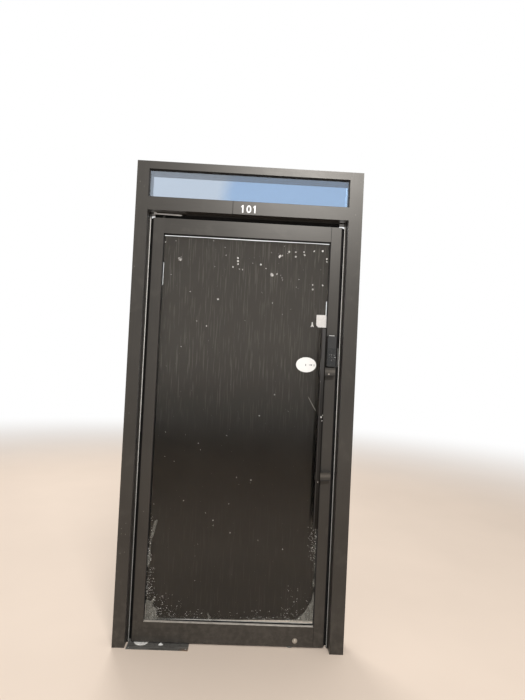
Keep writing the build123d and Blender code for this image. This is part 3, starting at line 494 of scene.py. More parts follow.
def bristle_tree():
    """Tapered bristles along the edges of a mesh, with tips that wander."""
    sizes = dict.fromkeys(("spacing", "width", "reach", "wave"), "Float")
    tree = Growth("bristles", **sizes, heading="Vector", seed="Int")
    line = tree.node("GeometryNodeMeshToCurve", None, {"Mesh": tree.geometry})
    sockets = {"Curve": line, "Length": tree.spacing}
    dots = tree.node("GeometryNodeResampleCurve", {"mode": "LENGTH"}, sockets)
    dots = tree.node("GeometryNodeCurveToPoints", {"mode": "EVALUATED"}, {"Curve": dots})
    sides = {"Vertices": 3, "Radius Top": 0.22, "Radius Bottom": 0.5, "Depth": 1}
    bristle = tree.node("GeometryNodeMeshCone", {"fill_type": "NGON"}, sides)
    place = tree.node("GeometryNodeInputPosition")
    wander = tree.node("ShaderNodeTexNoise", None, {"Vector": place, "Scale": 13, "Detail": 3})
    stray = {"Min": (-0.16, -0.16, -0.16), "Max": (0.16, 0.16, 0.16), "Seed": tree.seed}
    lean = tree.node("FunctionNodeRandomValue", {"data_type": "FLOAT_VECTOR"}, stray)
    turn = tree.facing(tree.vector_maths("ADD", tree.heading, lean))
    length = tree.reach - tree.wave * (wander * 0.7 + tree.chance(0, 0.3, tree.seed))
    size = tree.node("ShaderNodeCombineXYZ", None, {"X": tree.width, "Y": tree.width, "Z": length})
    return tree.close(dots, bristle, turn, size)


def fleck_tree():
    """Small flat irregular drops on the points of a mesh, turned and sized at random."""
    tree = Growth("flecks", size="Float", seed="Int")
    drop = tree.node("GeometryNodeMeshIcoSphere", None, {"Radius": 1, "Subdivisions": 2})
    uneven = tree.node("ShaderNodeTexNoise", None, {"Scale": 1.6, "Detail": 2}, "Color")
    uneven = tree.vector_maths("SUBTRACT", uneven, (0.5, 0.5, 0.5))
    drop = tree.node("GeometryNodeSetPosition", None, {"Geometry": drop, "Offset": uneven})
    wide = tree.size * tree.chance(0.35, 1, tree.seed)
    tall = wide * tree.chance(0.4, 1, tree.seed + 1)
    turn = tree.node("ShaderNodeCombineXYZ", None, {"Y": tree.chance(0, 3.1, tree.seed + 2)})
    size = tree.node("ShaderNodeCombineXYZ", None, {"X": wide, "Y": 0.12 * MM, "Z": tall})
    return tree.close(tree.geometry, drop, turn, size)


def screw_tree():
    """One screw head on each point, facing the way that is asked for."""
    tree = Growth("screw_heads", shape="Object", heading="Vector", seed="Int")
    sockets = {"Object": tree.shape, "As Instance": False}
    head = tree.node("GeometryNodeObjectInfo", None, sockets, "Geometry")
    spin = tree.node("ShaderNodeCombineXYZ", None, {"Z": tree.chance(0, 1.5, tree.seed)})
    sockets = {0: tree.facing(tree.heading), 1: spin}
    turn = tree.node("FunctionNodeRotateRotation", {"rotation_space": "LOCAL"}, sockets)
    return tree.close(tree.geometry, head, turn)


class DOOR_OT_frame_members(bpy.types.Operator):
    """Finishes the jambs, head rail, transom bar, cladding and seal carriers"""

    bl_idname = "door.frame_members"
    bl_label = "Frame members"

    def execute(self, context):
        def seam(finish):
            """The joint between the two lengths of cladding."""
            return finish.x.between(0.347, 0.35, 0.0004)

        paint(metal_finish("jamb_metal", 0.05, dirt=True), "jamb_left", "jamb_right")
        paint(metal_finish("rail_metal", 0.02, upright=False), "head_rail", "transom_bar")
        clad = metal_finish("cladding_metal", 0.02, upright=False, rubber=seam)
        clad.put("Metallic", seam(clad))
        paint(clad, "transom_cladding")
        carrier = metal_finish("carrier_metal", 0, colour=(0.014, 0.013, 0.012), roughness=0.5)
        paint(carrier, "brush_carrier_left", "brush_carrier_right", "brush_carrier_top")
        return {"FINISHED"}


class DOOR_OT_leaf_frame(bpy.types.Operator):
    """Finishes the stiles and rails of the leaf, with painted shade in black on their edges, beside the glass
    and under the top rail
    """

    bl_idname = "door.leaf_frame"
    bl_label = "Leaf frame"

    def execute(self, context):
        _, right, bottom, top = sight()
        near = 0.3 * MM

        def shaded_edges(finish):
            """Painted shade: black on the rounded outer edges, and on the lock stile's face beside the glass
            and a thin strip of its front.
            """
            outer = finish.x.slope(-45.4 * MM, -46.2 * MM) | finish.x.slope(0.9014, 0.9022)
            return outer | finish.x.between(0.6, right + 2.6 * MM, near)

        def underside_shade(finish):
            """Painted shade: black on the underside of the top rail, beside the glass."""
            under = finish.z.between(2, top + near, 0.1 * MM)
            return under * finish.y.slope(-19.6 * MM, -19 * MM)

        def dust_and_highlight(finish):
            """The top of the bottom rail: pale dust, and a painted highlight along it."""
            return finish.z.between(bottom - near, 0.2, 0.1 * MM)

        paint(metal_finish("stile_metal", 0.03, dirt=True, rubber=shaded_edges), "hinge_stile", "lock_stile")
        smoother = settings().metal_roughness - 0.06
        rail = metal_finish("leaf_rail_metal", 0.03, False, True, underside_shade, dust_and_highlight, roughness=smoother)
        paint(rail, "top_rail", "bottom_rail")
        return {"FINISHED"}


class DOOR_OT_glass(bpy.types.Operator):
    """Makes the door glass, the transom glass, their gaskets and setting blocks"""

    bl_idname = "door.glass"
    bl_label = "Glass and gaskets"

    def execute(self, context):
        glass = {"transmission_weight": 1}
        clear = two_tone("door_glass_clear", (4,), (0.95, 0.98, 0.97), (0.98, 0.99, 0.98), 0, 1.01, **glass)
        paint(clear, "door_glass")
        tints = shades(settings().light_glass_colour, 0.94, 1.06)
        clouds = (3.2, 3, 0.5, (1, 1, 2), 0.4)
        tinted = two_tone("transom_glass_pale", clouds, *tints, 0, 2.6, specular_tint=(0.82, 0.9, 1), **glass)
        # Painted light: paler towards the left, where brighter light shows through the glass.
        tinted.layer((tinted.x + tinted.grain * 0.12).slope(0.42, 0.3) * 0.8, (0.49, 0.56, 0.65))
        paint(tinted, "transom_glass")
        rubber = rubber_finish("gasket_rubber")
        paint(rubber, *[node for node in NODES if "gasket" in node or "setting_blocks" in node])
        dusty = rubber_finish("dusty_gasket_rubber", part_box("door_glass")[0].z + 0.02)
        paint(dusty, "glazing_gasket_front")
        return {"FINISHED"}


class DOOR_OT_film(bpy.types.Operator):
    """Makes the dark film behind the door glass, with its uneven cut edges"""

    bl_idname = "door.film"
    bl_label = "Dark film"

    def execute(self, context):
        chosen = settings()
        left, right, bottom, top = sight()
        cut = random.Random(4)
        rows = 240
        jitter = [cut.uniform(-0.4, 0.4) * MM for _ in range(rows + 1)]
        bare_left = ((1.778, 1.893, 5 * MM), (0, 0.182, 4 * MM))
        bare_right = ((1.659, 1.734, 6 * MM), (0, 0.24, 2.6 * MM))

        def inset(z, bare):
            """How far the film stops inside the sight line: short of it, or under the gasket."""
            gaps = [depth for first, last, depth in bare if first <= z <= last]
            return gaps[0] if gaps else -3 * MM

        def place(across, up):
            low_gap = chosen.film_low_gap * min(1, 0.1 + 1.05 * across)
            z = bottom + low_gap + up * (top - chosen.film_gap - bottom - low_gap)
            row = round(up * rows)
            x_left = left + inset(z, bare_left) + jitter[row]
            x_right = right - inset(z, bare_right) - jitter[rows - row]
            if up in (0, 1):
                z += 0.7 * MM * math.sin(9 * across) + 0.3 * MM * math.sin(31 * across)
            return x_left + across * (x_right - x_left), 4.95 * MM, z

        bonded = self.film_finish("film_bonded_face", 0.43)
        self.add_painted_reflection(bonded)
        backing = self.film_finish("film_back", 0.4)
        backing.bump(backing.noise(14, 3, 0.6), 0.05, 0.0004)
        film = add_piece("film_sheet", bonded, "leaf", "film", sheet_mesh(24, rows, place, 0.45 * MM))
        film.data.materials.append(backing.material)
        for face in film.data.polygons:
            face.material_index = 0 if face.normal.y < -0.5 else 1
        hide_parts("dark_film")
        return {"FINISHED"}

    def film_finish(self, name, gloss):
        """Black film with an uneven tone."""
        tones = shades(settings().film_colour, 2, 4.5)
        shine = {"specular": gloss, "specular_tint": (1, 0.92, 0.84)}
        finish = two_tone(name, (6, 5, 0.6, None, 0.5), *tones, ior=1.4, **shine)
        finish.put("Roughness", 0.42 + finish.grain * 0.2)
        return finish

    def add_painted_reflection(self, finish):
        """The bonded face shines as its glass does. A painted reflection makes it paler above and below, with
        fine upright streaks.
        """
        reflection_streaks = finish.noise(170, 2, 0.5, (1, 1, 0.04)).slope(0.55, 0.68)
        # Painted reflection: paler above and below.
        above = finish.z.slope(0.95, 1.55) * (0.6 + reflection_streaks * 0.65)
        below = finish.z.slope(0.9, 0.4) * (0.2 + reflection_streaks * 0.1)
        finish.layer(above + below, (0.095, 0.086, 0.077))
        finish.put("Roughness", 0.03 + reflection_streaks * 0.01)


# Streaks of old glue on the glass: X and Z of their ends and half their width, in metres
STREAKS = (
    ((0.044, 0.604), (0.022, 0.508), 0.0085),
    ((0.034, 0.584), (0.020, 0.505), 0.004),
    ((0.021, 0.512), (0.018, 0.440), 0.003),
    ((0.018, 0.448), (0.012, 0.368), 0.009),
)

# Larger drops of paint on the glass, X and Z in mm
SPLASHES = (
    (642, 1977), (675, 1978), (676, 1954), (769, 1987), (812, 1990), (597, 1952), (93, 1916),
    (384, 1932), (385, 1916), (386, 1901), (361, 1885), (394, 1876), (410, 1874), (555, 1857),
    (565, 1855), (585, 1861), (698, 1839), (769, 1815), (770, 1792), (820, 1815), (835, 1951),
    (836, 1936), (717, 1980), (721, 1965), (294, 1718), (569, 1713), (501, 1904), (460, 1910),
    (68, 2002), (16, 1993), (528, 1886), (243, 1580),
)

# Middles of the largest blots, X and Z in mm
BLOTS = ((562, 1856), (97, 1914), (597, 1952))

# Where small flecks lie: X from, to and thickest, Z from, to and thickest in mm, their number and size
FLECK_ZONES = (
    (8, 60, 12, 200, 376, 260, 110, 0.7),
    (30, 190, 60, 122, 260, 130, 110, 0.7),
    (120, 420, 140, 121, 175, 122, 45, 0.7),
    (420, 760, 620, 122, 190, 126, 60, 0.7),
    (660, 845, 740, 126, 330, 150, 60, 0.7),
    (800, 847, 843, 380, 640, 560, 90, 0.8),
    (8, 36, 10, 360, 700, 400, 40, 0.8),
    (14, 840, 700, 1600, 2028, 1950, 24, 1),
    (14, 842, 300, 122, 2015, 600, 30, 1),
)


class DOOR_OT_glass_marks(bpy.types.Operator):
    """Makes the dust, old glue and paint flecks on the front of the door glass"""

    bl_idname = "door.glass_marks"
    bl_label = "Marks on the glass"

    def execute(self, context):
        self.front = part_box("door_glass")[0].y
        self.make_residue()
        self.make_flecks()
        return {"FINISHED"}

    def make_residue(self):
        finish = Finish("glass_residue", roughness=0.8, ior=1.3)
        broad = finish.noise(28, 4, 0.6, None, 0.4) - 0.5
        fine = finish.noise(170, 5, 0.7) - 0.5
        x = finish.x + broad * 0.05 + fine * 0.03
        z = finish.z + broad * 0.06 + fine * 0.03
        wide, tall = 0.165, 0.205
        depth_right = finish.far(x - (0.849 - wide) | 0, (0.115 + tall - z) * (wide / tall) | 0) - wide
        depth_left = 0.064 - x - abs(z - 0.152) * 0.35 + z.slope(0.15, 0.115) * 0.03
        depth_left = depth_left & (0.206 - z)
        right_corner = depth_right.slope(0, 0.003)
        left_corner = depth_left.slope(0, 0.003) * finish.x.slope(0.0105, 0.0115)
        left_corner = left_corner | self.stroke(finish, (0.036, 0.176), (0.055, 0.224), 0.007, 0.5)
        rim = (depth_right | depth_left).slope(-0.03, 0) * finish.z.slope(0.36, 0.3)
        streaks = reduce(or_, [self.stroke(finish, *streak, 0.5) for streak in STREAKS])
        band = x.slope(0.834, 0.842) * z.between(0.39, 0.6, 0.02)
        line = x.slope(0.8425, 0.8445) * finish.z.between(0.3, 0.42, 0.02)
        fringe = z.slope(0.152, 0.134) * fine.slope(0.02, 0.1)
        fringe = fringe * (0.3 + finish.x.slope(0.48, 0.62) * 0.7)
        dots = finish.cells(300).slope(0.4, 0.3)
        chance = finish.cells(300, "Color")
        holes = dots & chance.slope(0.34, 0.32)
        cloud = 0.42 + finish.noise(60, 5, 0.7, (1, 1, 0.4)).slope(0.3, 0.65) * 0.3
        dashes = finish.noise(60, 2, 0.5, (3, 1, 0.25)).slope(0.62, 0.7)
        dashes = dashes * finish.x.between(0.16, 0.24, 0.01) * finish.z.between(0.17, 0.22, 0.01)
        cover = reduce(or_, (
            (left_corner * (1 - holes * 0.8) | right_corner | line) * cloud,
            rim * 0.7 * (dots & chance.slope(0.62, 0.64)),
            streaks * 0.62 * fine.slope(-0.2, 0.02),
            band * 0.5 * fine.slope(-0.06, 0.06),
            fringe * 0.6,
            self.stroke(finish, (0.771, 1.250), (0.815, 1.176), 0.0021) * 0.95,
            self.stroke(finish, (0.319, 0.153), (0.334, 0.122), 0.006, 0.5) * 0.5,
            dashes * 0.35,
        ))
        left, right, bottom, top = sight()
        share = (0.1 + 1.05 * (finish.x - left) / (right - left)) & 1
        film_edge = bottom + settings().film_low_gap * share
        finish.blend(cloud, *shades(settings().residue_colour, 0.8, 1.2))
        finish.put("Alpha", cover * (finish.z - film_edge).slope(-0.001, 0.001))
        corners = ((left, bottom), (right, bottom), (right, top), (left, top))
        points = [(x, self.front - 0.04 * MM, z) for x, z in corners]
        add_piece("glass_residue", finish, "leaf", "clear_glass", plain_mesh(points, faces=[(0, 1, 2, 3)]))

    def stroke(self, finish, first, last, width, ragged=0):
        """A straight mark between two places on the glass, with sides that wander when ragged."""
        span = (last[0] - first[0], last[1] - first[1])
        length = math.hypot(*span)
        along = ((finish.x - first[0]) * span[0] + (finish.z - first[1]) * span[1]) / length
        aside = abs(((finish.x - first[0]) * span[1] - (finish.z - first[1]) * span[0]) / length)
        if ragged:
            aside = aside + (finish.noise(110, 3, 0.6) - 0.5) * 2 * width * ragged
        taper = along.slope(-0.004, 0.01) * along.slope(length + 0.004, length - 0.01)
        return aside.slope(width, width * 0.6) * taper

    def make_flecks(self):
        chosen = settings()
        chance = random.Random(7)
        finish = Finish("paint_flecks", roughness=0.55, ior=1.5)
        finish.blend(finish.cells(60, "Color"), (0.25, 0.24, 0.22), (0.85, 0.84, 0.8))
        tree = fleck_tree()
        groups = [(size, self.scattered(chance, zone, count)) for *zone, count, size in FLECK_ZONES]
        blots = [(x + chance.gauss(0, 6), z + chance.gauss(0, 3.5)) for x, z in BLOTS for _ in range(9)]
        meshes = []
        for size, places in (*groups, (2.4, SPLASHES), (2, blots)):
            points = plain_mesh([(x * MM, self.front - 0.05 * MM, z * MM) for x, z in places])
            meshes.append(tree.grow(points, size=chosen.fleck_size * size, seed=3, finish=finish.material))
        add_piece("glass_flecks", finish, "leaf", "clear_glass", *meshes)

    def scattered(self, chance, zone, count):
        """Random places in mm in one zone, thickest where it says."""
        count = round(count * settings().fleck_share)
        return [(chance.triangular(*zone[:3]), chance.triangular(*zone[3:])) for _ in range(count)]


class DOOR_OT_brush_seals(bpy.types.Operator):
    """Makes the bristles of the twin brush seals beside and above the leaf"""

    bl_idname = "door.brush_seals"
    bl_label = "Brush seals"

    def execute(self, context):
        pale = self.pile_finish("pale_bristles", settings().pile_colour)
        # The rear and top rows are near-black bristles: partly a black pile, partly a painted shade in the
        # gaps.
        dark = self.pile_finish("dark_bristles", (0.01, 0.0095, 0.009))
        row = 10 * MM
        keeper_low, keeper_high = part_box("strike_keeper")
        for side, sign in (("left", 1), ("right", -1)):
            node = "brush_pile_" + side
            low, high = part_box(node)
            root = low.x if sign > 0 else high.x
            near = [(-row, low.z, high.z)]
            far = [(row, low.z, high.z)]
            if side == "right":
                far = [(row, low.z, keeper_low.z - MM), (row, keeper_high.z + MM, high.z)]
            front = self.make_brush(node + "_bristles", 0, sign, root, 6.5 * MM, near, pale, "pile")
            self.make_brush(node + "_rear_bristles", 0, sign, root, high.x - low.x, far, dark, "dark_pile")
            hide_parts(node)
        low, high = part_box("brush_pile_top")
        reach = 16 * MM
        both = [(y, low.x, high.x) for y in (-row, row)]
        top = self.make_brush("brush_pile_top_bristles", 2, -1, low.z + reach, reach, both, dark, "dark_pile")
        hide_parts("brush_pile_top")
        return {"FINISHED"}

    def make_brush(self, name, axis, sign, root, reach, rows, finish, slot):
        """Rows of bristles that start at root and point along an axis, each with a dense core."""
        chosen = settings()

        def spot(out, y, along):
            """X, Y and Z from what lies along the bristles, across the rows and along them."""
            return (out, y, along) if axis == 0 else (along, y, out)

        core = sorted((root, root + sign * reach * 0.9))
        half = 1.6 * MM
        meshes = [box_mesh(*spot(core, (y - half, y + half), both)) for y, *both in rows]
        ends = [spot(root, y + offset * MM, end)
                for y, *both in rows for offset in (-2, -1, 0, 1, 2) for end in both]
        lines = plain_mesh(ends, [(i, i + 1) for i in range(0, len(ends), 2)])
        sizes = {"spacing": chosen.bristle_spacing, "width": chosen.bristle_width, "reach": reach}
        sizes["wave"] = min(chosen.bristle_wave, reach * 0.45)
        look = {"heading": spot(sign, 0, 0), "seed": 11, "finish": finish.material}
        meshes.append(bristle_tree().grow(lines, **sizes, **look))
        return add_piece(name, finish, "frame", slot, *meshes)

    def pile_finish(self, name, tone):
        finish = two_tone(name, (900, 2), *shades(tone, 0.75, 1.2), 0.85, 1.4, bump=(0.3, 0.0003))
        finish.layer(finish.noise(24, 4, 0.6).slope(0.5, 0.72) * 0.3, sized(tone, 0.5))
        # Darker towards the bottom.
        finish.layer(finish.z.slope(1.5, 0.2) * 0.72, sized(tone, 0.2))
        return finish


class DOOR_OT_door_number(bpy.types.Operator):
    """Finishes the plain number on the transom bar"""

    bl_idname = "door.door_number"
    bl_label = "Door number"

    def execute(self, context):
        worn = {"step": (0.62, 0.75, 0, 0.5), "bump": (0.1, 0.0002)}
        vinyl = two_tone("number_vinyl", (220, 4, 0.6), (0.88, 0.88, 0.86), (0.6, 0.59, 0.56), 0.4, **worn)
        paint(vinyl, "door_number")
        return {"FINISHED"}


# Places on the outer pull bar where its coating is knocked off: X, Z and size in mm
CHIPS = ((831, 1157, 6), (836, 1140, 4), (838, 1166, 4), (820, 1330, 2.4), (829, 840, 2.4))


class DOOR_OT_pull_bars(bpy.types.Operator):
    """Finishes the pull bars with their brackets, caps and bolts"""

    bl_idname = "door.pull_bars"
    bl_label = "Pull bars"

    def execute(self, context):
        finish = Finish("bar_coating", ior=1.5)
        streaks = finish.noise(500, 3, 0.6, (1, 1, 0.03))
        tone = streaks * 0.6 + finish.noise(7, 4, 0.6) * 0.4
        finish.blend(tone, *shades(settings().bar_colour, 0.7, 1.5))
        wear = finish.noise(160, 5, 0.7) - 0.5
        chips = reduce(or_, [self.chip(finish, wear, *chip) for chip in CHIPS])
        # Painted shade: the bar's front darker lower down and towards its right, and a black strip on its
        # right edge.
        shade = finish.z.slope(1.48, 1.22) * 0.6 + finish.z.slope(0.98, 0.7) * 0.25
        shade = shade * finish.x.slope(0.8185, 0.824)
        shade = (shade | finish.x.slope(0.834, 0.8355)) * finish.y.slope(-0.07, -0.0775)
        finish.layer(shade, (0.009, 0.008, 0.007))
        finish.layer(chips, (0.62, 0.6, 0.57))
        finish.put("Metallic", chips | shade)
        finish.put("Roughness", 0.34 + streaks * 0.1 - chips * 0.1)
        finish.bump(streaks * 0.3 - chips, 0.3, 0.0002)
        paint(finish, "pull_bar_outer", "pull_bar_inner", "bar_end_caps")

        def under(finish):
            """Painted shade: black on the lower edges of the brackets."""
            return finish.z.between(1.3, 1.364, 0.001) | finish.z.between(0.8, 0.846, 0.001)

        def painted_highlight(finish):
            """Painted highlight: the upper half of each bracket made pale, and a painted glint spot."""
            pale_top = finish.z.between(1.376, 1.39, 0.005) | finish.z.between(0.858, 0.872, 0.005)
            spot = finish.x.between(0.861, 0.867, 0.002) * finish.z.between(1.365, 1.371, 0.002)
            return pale_top * 0.12 | spot

        bracket = metal_finish("bracket_coating", 0.04, rubber=under, dust_and_highlight=painted_highlight, roughness=0.34)
        paint(bracket, "handle_brackets_outer", "handle_brackets_inner")
        paint(zinc_steel(), "handle_bolts")
        return {"FINISHED"}

    def chip(self, finish, wear, x, z, size):
        """Bare metal where the coating is knocked off the front of the bar."""
        far = finish.far(finish.x - x * MM, (finish.z - z * MM) * 0.6) + wear * 0.006
        return far.slope(size * MM * 0.6, size * MM * 0.4) * finish.y.slope(-0.076, -0.0775)


class DOOR_OT_keypad_lock(bpy.types.Operator):
    """Finishes the keypad lock and makes its key figures, its pale indicator dot, a pale strip that is a
    painted highlight, and the bolt's metal
    """

    bl_idname = "door.keypad_lock"
    bl_label = "Keypad lock"

    def execute(self, context):
        shell = two_tone("lock_shell", (18, 4, 0.6), *shades(settings().lock_colour, 0.75, 1.5), ior=1.5)
        fine = shell.noise(800, 2)
        low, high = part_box("lock_front_body")
        # Painted highlight: a pale band along the top edge of the front body.
        top_highlight = shell.z.between(high.z - 3.4 * MM, high.z - 0.5 * MM, 0.5 * MM)
        top_highlight = top_highlight * shell.x.between(low.x + 8 * MM, high.x - 13 * MM, 4 * MM)
        top_highlight = top_highlight * shell.y.slope(0, -0.01) * shell.noise(90, 3, 0.6).slope(0.3, 0.5)
        shell.layer(top_highlight * 0.9, (0.7, 0.69, 0.66))
        shell.put("Roughness", 0.26 + fine * 0.1 + shell.grain * 0.1)
        shell.bump(fine, 0.2, 0.0001)
        for node in ("lock_front_body", "lock_back_body"):
            paint(shell, node)
            soften(node, 0.6 * MM)
        plate = Finish("keypad_gloss", ior=1.5)
        greasy = plate.noise(120, 4, 0.6).slope(0.5, 0.7)
        plate.blend(greasy, (0.012, 0.012, 0.012), (0.028, 0.027, 0.025))
        plate.put("Roughness", 0.12 + greasy * 0.25)
        paint(plate, "keypad_plate")
        self.make_figures()
        paint(bare_metal("lock_case_steel", (0.42, 0.42, 0.4), 0.42), "lock_case")
        paint(bare_metal("bolt_nickel", (0.6, 0.59, 0.56), 0.26), "deadbolt", "thumbturn")
        paint(bare_metal("keeper_steel", (0.1, 0.097, 0.09), 0.5), "strike_keeper")
        return {"FINISHED"}

    def make_figures(self):
        low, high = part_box("keypad_plate")
        middle = (low.x + high.x) / 2
        centre = (low.z + high.z) / 2 + 3.75 * MM
        face = low.y + 0.3 * MM
        ink = two_tone("figure_print", (900, 2), (0.34, 0.34, 0.34), (0.75, 0.75, 0.73))
        figures = []
        for index, figure in enumerate("123456789*0#"):
            x = middle + (index % 3 - 1) * 11 * MM
            z = centre + (1.5 - index // 3) * 10.5 * MM
            figures.append(letters_mesh(figure, (x, z), 5.2 * MM, face - 0.08 * MM, face + 0.05 * MM))
        add_piece("key_figures", ink, "leaf", "keypad", *figures)
        dot_and_highlight = two_tone("lock_light", (600,), (0.7, 0.7, 0.7), (0.9, 0.9, 0.88), 0.3, 1.5)
        rim = circle(16, 1.6 * MM, high.x - 2 * MM, 1453 * MM)
        dot = plate_mesh(rim, low.y - 0.25 * MM, low.y + 0.1 * MM)
        # A pale strip below the keys: a painted highlight.
        wide = (middle - 9 * MM, middle + 9 * MM)
        strip = box_mesh(wide, (face - 0.1 * MM, face + 0.05 * MM), (1.4325, 1.4355))
        add_piece("lock_light", dot_and_highlight, "leaf", "keypad", dot, strip)


class DOOR_OT_floor_lock(bpy.types.Operator):
    """Finishes the keyed lock in the bottom rail and its floor bolt"""

    bl_idname = "door.floor_lock"
    bl_label = "Floor lock"

    def execute(self, context):
        paint(bare_metal("lock_collar", (0.5, 0.48, 0.44), 0.34), "floor_lock_case")
        paint(bare_metal("plug_nickel", (0.62, 0.6, 0.55), 0.28), "floor_lock_plug")
        paint(zinc_steel(), "floor_bolt", "floor_bolt_socket")
        return {"FINISHED"}


class DOOR_OT_signs(bpy.types.Operator):
    """Makes the oval sign's plain arrow, the torn paper label and the scrap of another"""

    bl_idname = "door.signs"
    bl_label = "Signs and labels"

    def execute(self, context):
        self.make_sign()
        self.make_papers()
        return {"FINISHED"}

    def make_sign(self):
        tones = shades(settings().sign_colour, 0.94, 1)
        face = two_tone("sign_face", (60, 4, 0.6), *tones, 0.45, bump=(0.05, 0.0003))
        paint(face, "oval_sign")
        soften("oval_sign", 0.4 * MM)
        low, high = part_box("oval_sign")
        middle = (low.x + high.x) / 2
        centre = (low.z + high.z) / 2
        arrow = [(-7, 1.6), (2, 1.6), (2, 5.5), (10, 0), (2, -5.5), (2, -1.6), (-7, -1.6)]
        bar = [(-1.8, -5), (1.8, -5), (1.8, 5), (-1.8, 5)]
        small = [(-3.5, -1.2), (3.5, -1.2), (3.5, 1.2), (-3.5, 1.2)]
        marks = ((arrow, 22, 0), (bar, -2, -1), (small, 40, 1.5), (small, 40, -4))
        meshes = [self.flat(outline, middle + x * MM, centre + z * MM, low.y - 0.12 * MM, low.y)
                  for outline, x, z in marks]
        ink = two_tone("sign_ink", (500, 3), (0.06, 0.06, 0.07), (0.2, 0.2, 0.2))
        add_piece("sign_arrow", ink, "leaf", "sign_white", *meshes)

    def flat(self, outline, x, z, front, back):
        """A plate from an outline in mm round a place in metres."""
        return plate_mesh([(x + a * MM, z + b * MM) for a, b in outline], front, back)

    def make_papers(self):
        chosen = settings()
        low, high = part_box("paper_labels")
        width, height, tear = 51 * MM, 63 * MM, 10 * MM
        left, bottom = high.x - width, high.z - height
        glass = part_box("door_glass")[0].y
        torn = random.Random(21)
        ragged = [torn.uniform(-0.7, 0.7) * MM for _ in range(80)]

        def place(across, up):
            row = round(up * 32)
            column = round(across * 26)
            z = bottom + up * height
            start = left + max(0, tear - (z - bottom)) + ragged[row] * (1.6 if up < 0.3 else 0.5)
            end = high.x + ragged[row + 34] * 0.35 - (3 * MM if up > 0.93 else 0)
            x = start + across * (end - start)
            z += ragged[column + 7] * (1 - up) * (1.3 if across < 0.5 else 0.5)
            lift = max(0, 1 - math.hypot(x - left, z - bottom) / (22 * MM)) ** 2 * chosen.paper_lift
            ripple = 0.16 * MM * (1 + math.sin(x * 900 + z * 300) * math.sin(z * 700 - x * 250))
            return x, glass - 0.2 * MM - lift - ripple, z

        look = {"step": (0.5, 0.64), "bump": (0.5, 0.0006)}
        tones = shades(chosen.paper_colour, 1, 1.1)
        paper = two_tone("torn_paper", (90, 6, 0.7, None, 0.5), *tones, 0.85, 1.4, **look)
        paper.layer(paper.noise(230, 4, 0.7).slope(0.66, 0.74) * 0.5, (0.34, 0.31, 0.27))
        label = sheet_mesh(26, 32, place, 0.14 * MM)
        outline = [(-3, 12.5), (2, 11.5), (3, 2), (4.5, -3), (8.5, -11.5), (3, -12.5)]
        outline += [(0.4, -6.5), (-2.6, -11.9), (-8.5, -12.5), (-5, -3.4), (-3.4, 1)]
        scrap = self.flat(outline, low.x + 8.5 * MM, 1614 * MM, glass - 0.34 * MM, glass - 0.02 * MM)
        papers = add_piece("torn_labels", paper, "leaf", "paper", label, scrap)
        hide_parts("paper_labels")


class DOOR_OT_floor_closer(bpy.types.Operator):
    """Finishes the floor closer, its worn cover plate, dust ring and a scrap of tape"""

    bl_idname = "door.floor_closer"
    bl_label = "Floor closer"

    def execute(self, context):
        worn = Finish("worn_plate", metallic=0.75)
        scratches = worn.noise(300, 4, 0.6, (0.06, 1, 1))
        across = worn.noise(260, 4, 0.6, (1, 0.08, 1))
        patches = worn.noise(22, 5, 0.65, None, 0.6)
        corner = (worn.x + patches * 0.05).slope(0.215, 0.245) * (worn.y + patches * 0.04).slope(-0.02, -0.06)
        worn.blend(scratches.slope(0.4, 0.66), (0.14, 0.132, 0.117), (0.29, 0.275, 0.25))
        worn.layer(across.slope(0.55, 0.75) * 0.5, (0.3, 0.29, 0.27))
        worn.layer(patches.slope(0.5, 0.75) * 0.6, (0.07, 0.064, 0.056))
        worn.layer(corner * 0.75, (0.36, 0.22, 0.13))
        worn.layer((worn.x + scratches * 0.006).slope(-0.054, -0.061) * 0.7, (0.5, 0.49, 0.46))
        worn.put("Roughness", 0.42 + patches * 0.3)
        worn.bump(scratches * 0.5 + across * 0.3 + patches * 0.5, 0.4, 0.0003)
        paint(worn, "cover_plate")
        look = {"step": (0.45, 0.7), "bump": (0.3, 0.0004)}
        ring = two_tone("dust_ring", (70, 5, 0.7), (0.72, 0.7, 0.66), (0.5, 0.47, 0.42), 0.6, **look)
        paint(ring, "spindle_ring")
        look = {"ior": 1.5, "bump": (0.6, 0.0006), "metallic": 0.6}
        cast = two_tone("cast_iron", (320, 5, 0.7), (0.05, 0.05, 0.052), (0.13, 0.125, 0.12), 0.6, **look)
        paint(cast, "closer_body")
        paint(bare_metal("bearing_brass", (0.72, 0.52, 0.24), 0.3, (1, 1, 8)), "spindle_bearing")
        paint(zinc_steel(), "floor_case", "closer_bolts", "floor_spindle", "bottom_arm")
        self.make_tape_scrap()
        return {"FINISHED"}

    def make_tape_scrap(self):
        """A small pale triangle of old tape, left on the cover plate."""
        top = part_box("cover_plate")[1].z
        outline = [(88, -31), (96, -33), (105, -32), (112, -30), (108, -24), (101, -14), (98, -7)]
        outline += [(94, -16), (90, -25)]
        under = [(x * MM, y * MM, top - 0.02 * MM) for x, y in outline]
        over = [(x * MM, y * MM, top + (0.4 + 0.8 * ((y + 33) / 26)) * MM) for x, y in outline]
        tape = two_tone("tape_scrap", (300, 4), (0.74, 0.72, 0.68), (0.88, 0.87, 0.84), 0.6)
        add_piece("tape_scrap", tape, "frame", "pale_ring", thick_mesh(under, over, [range(len(outline))]))


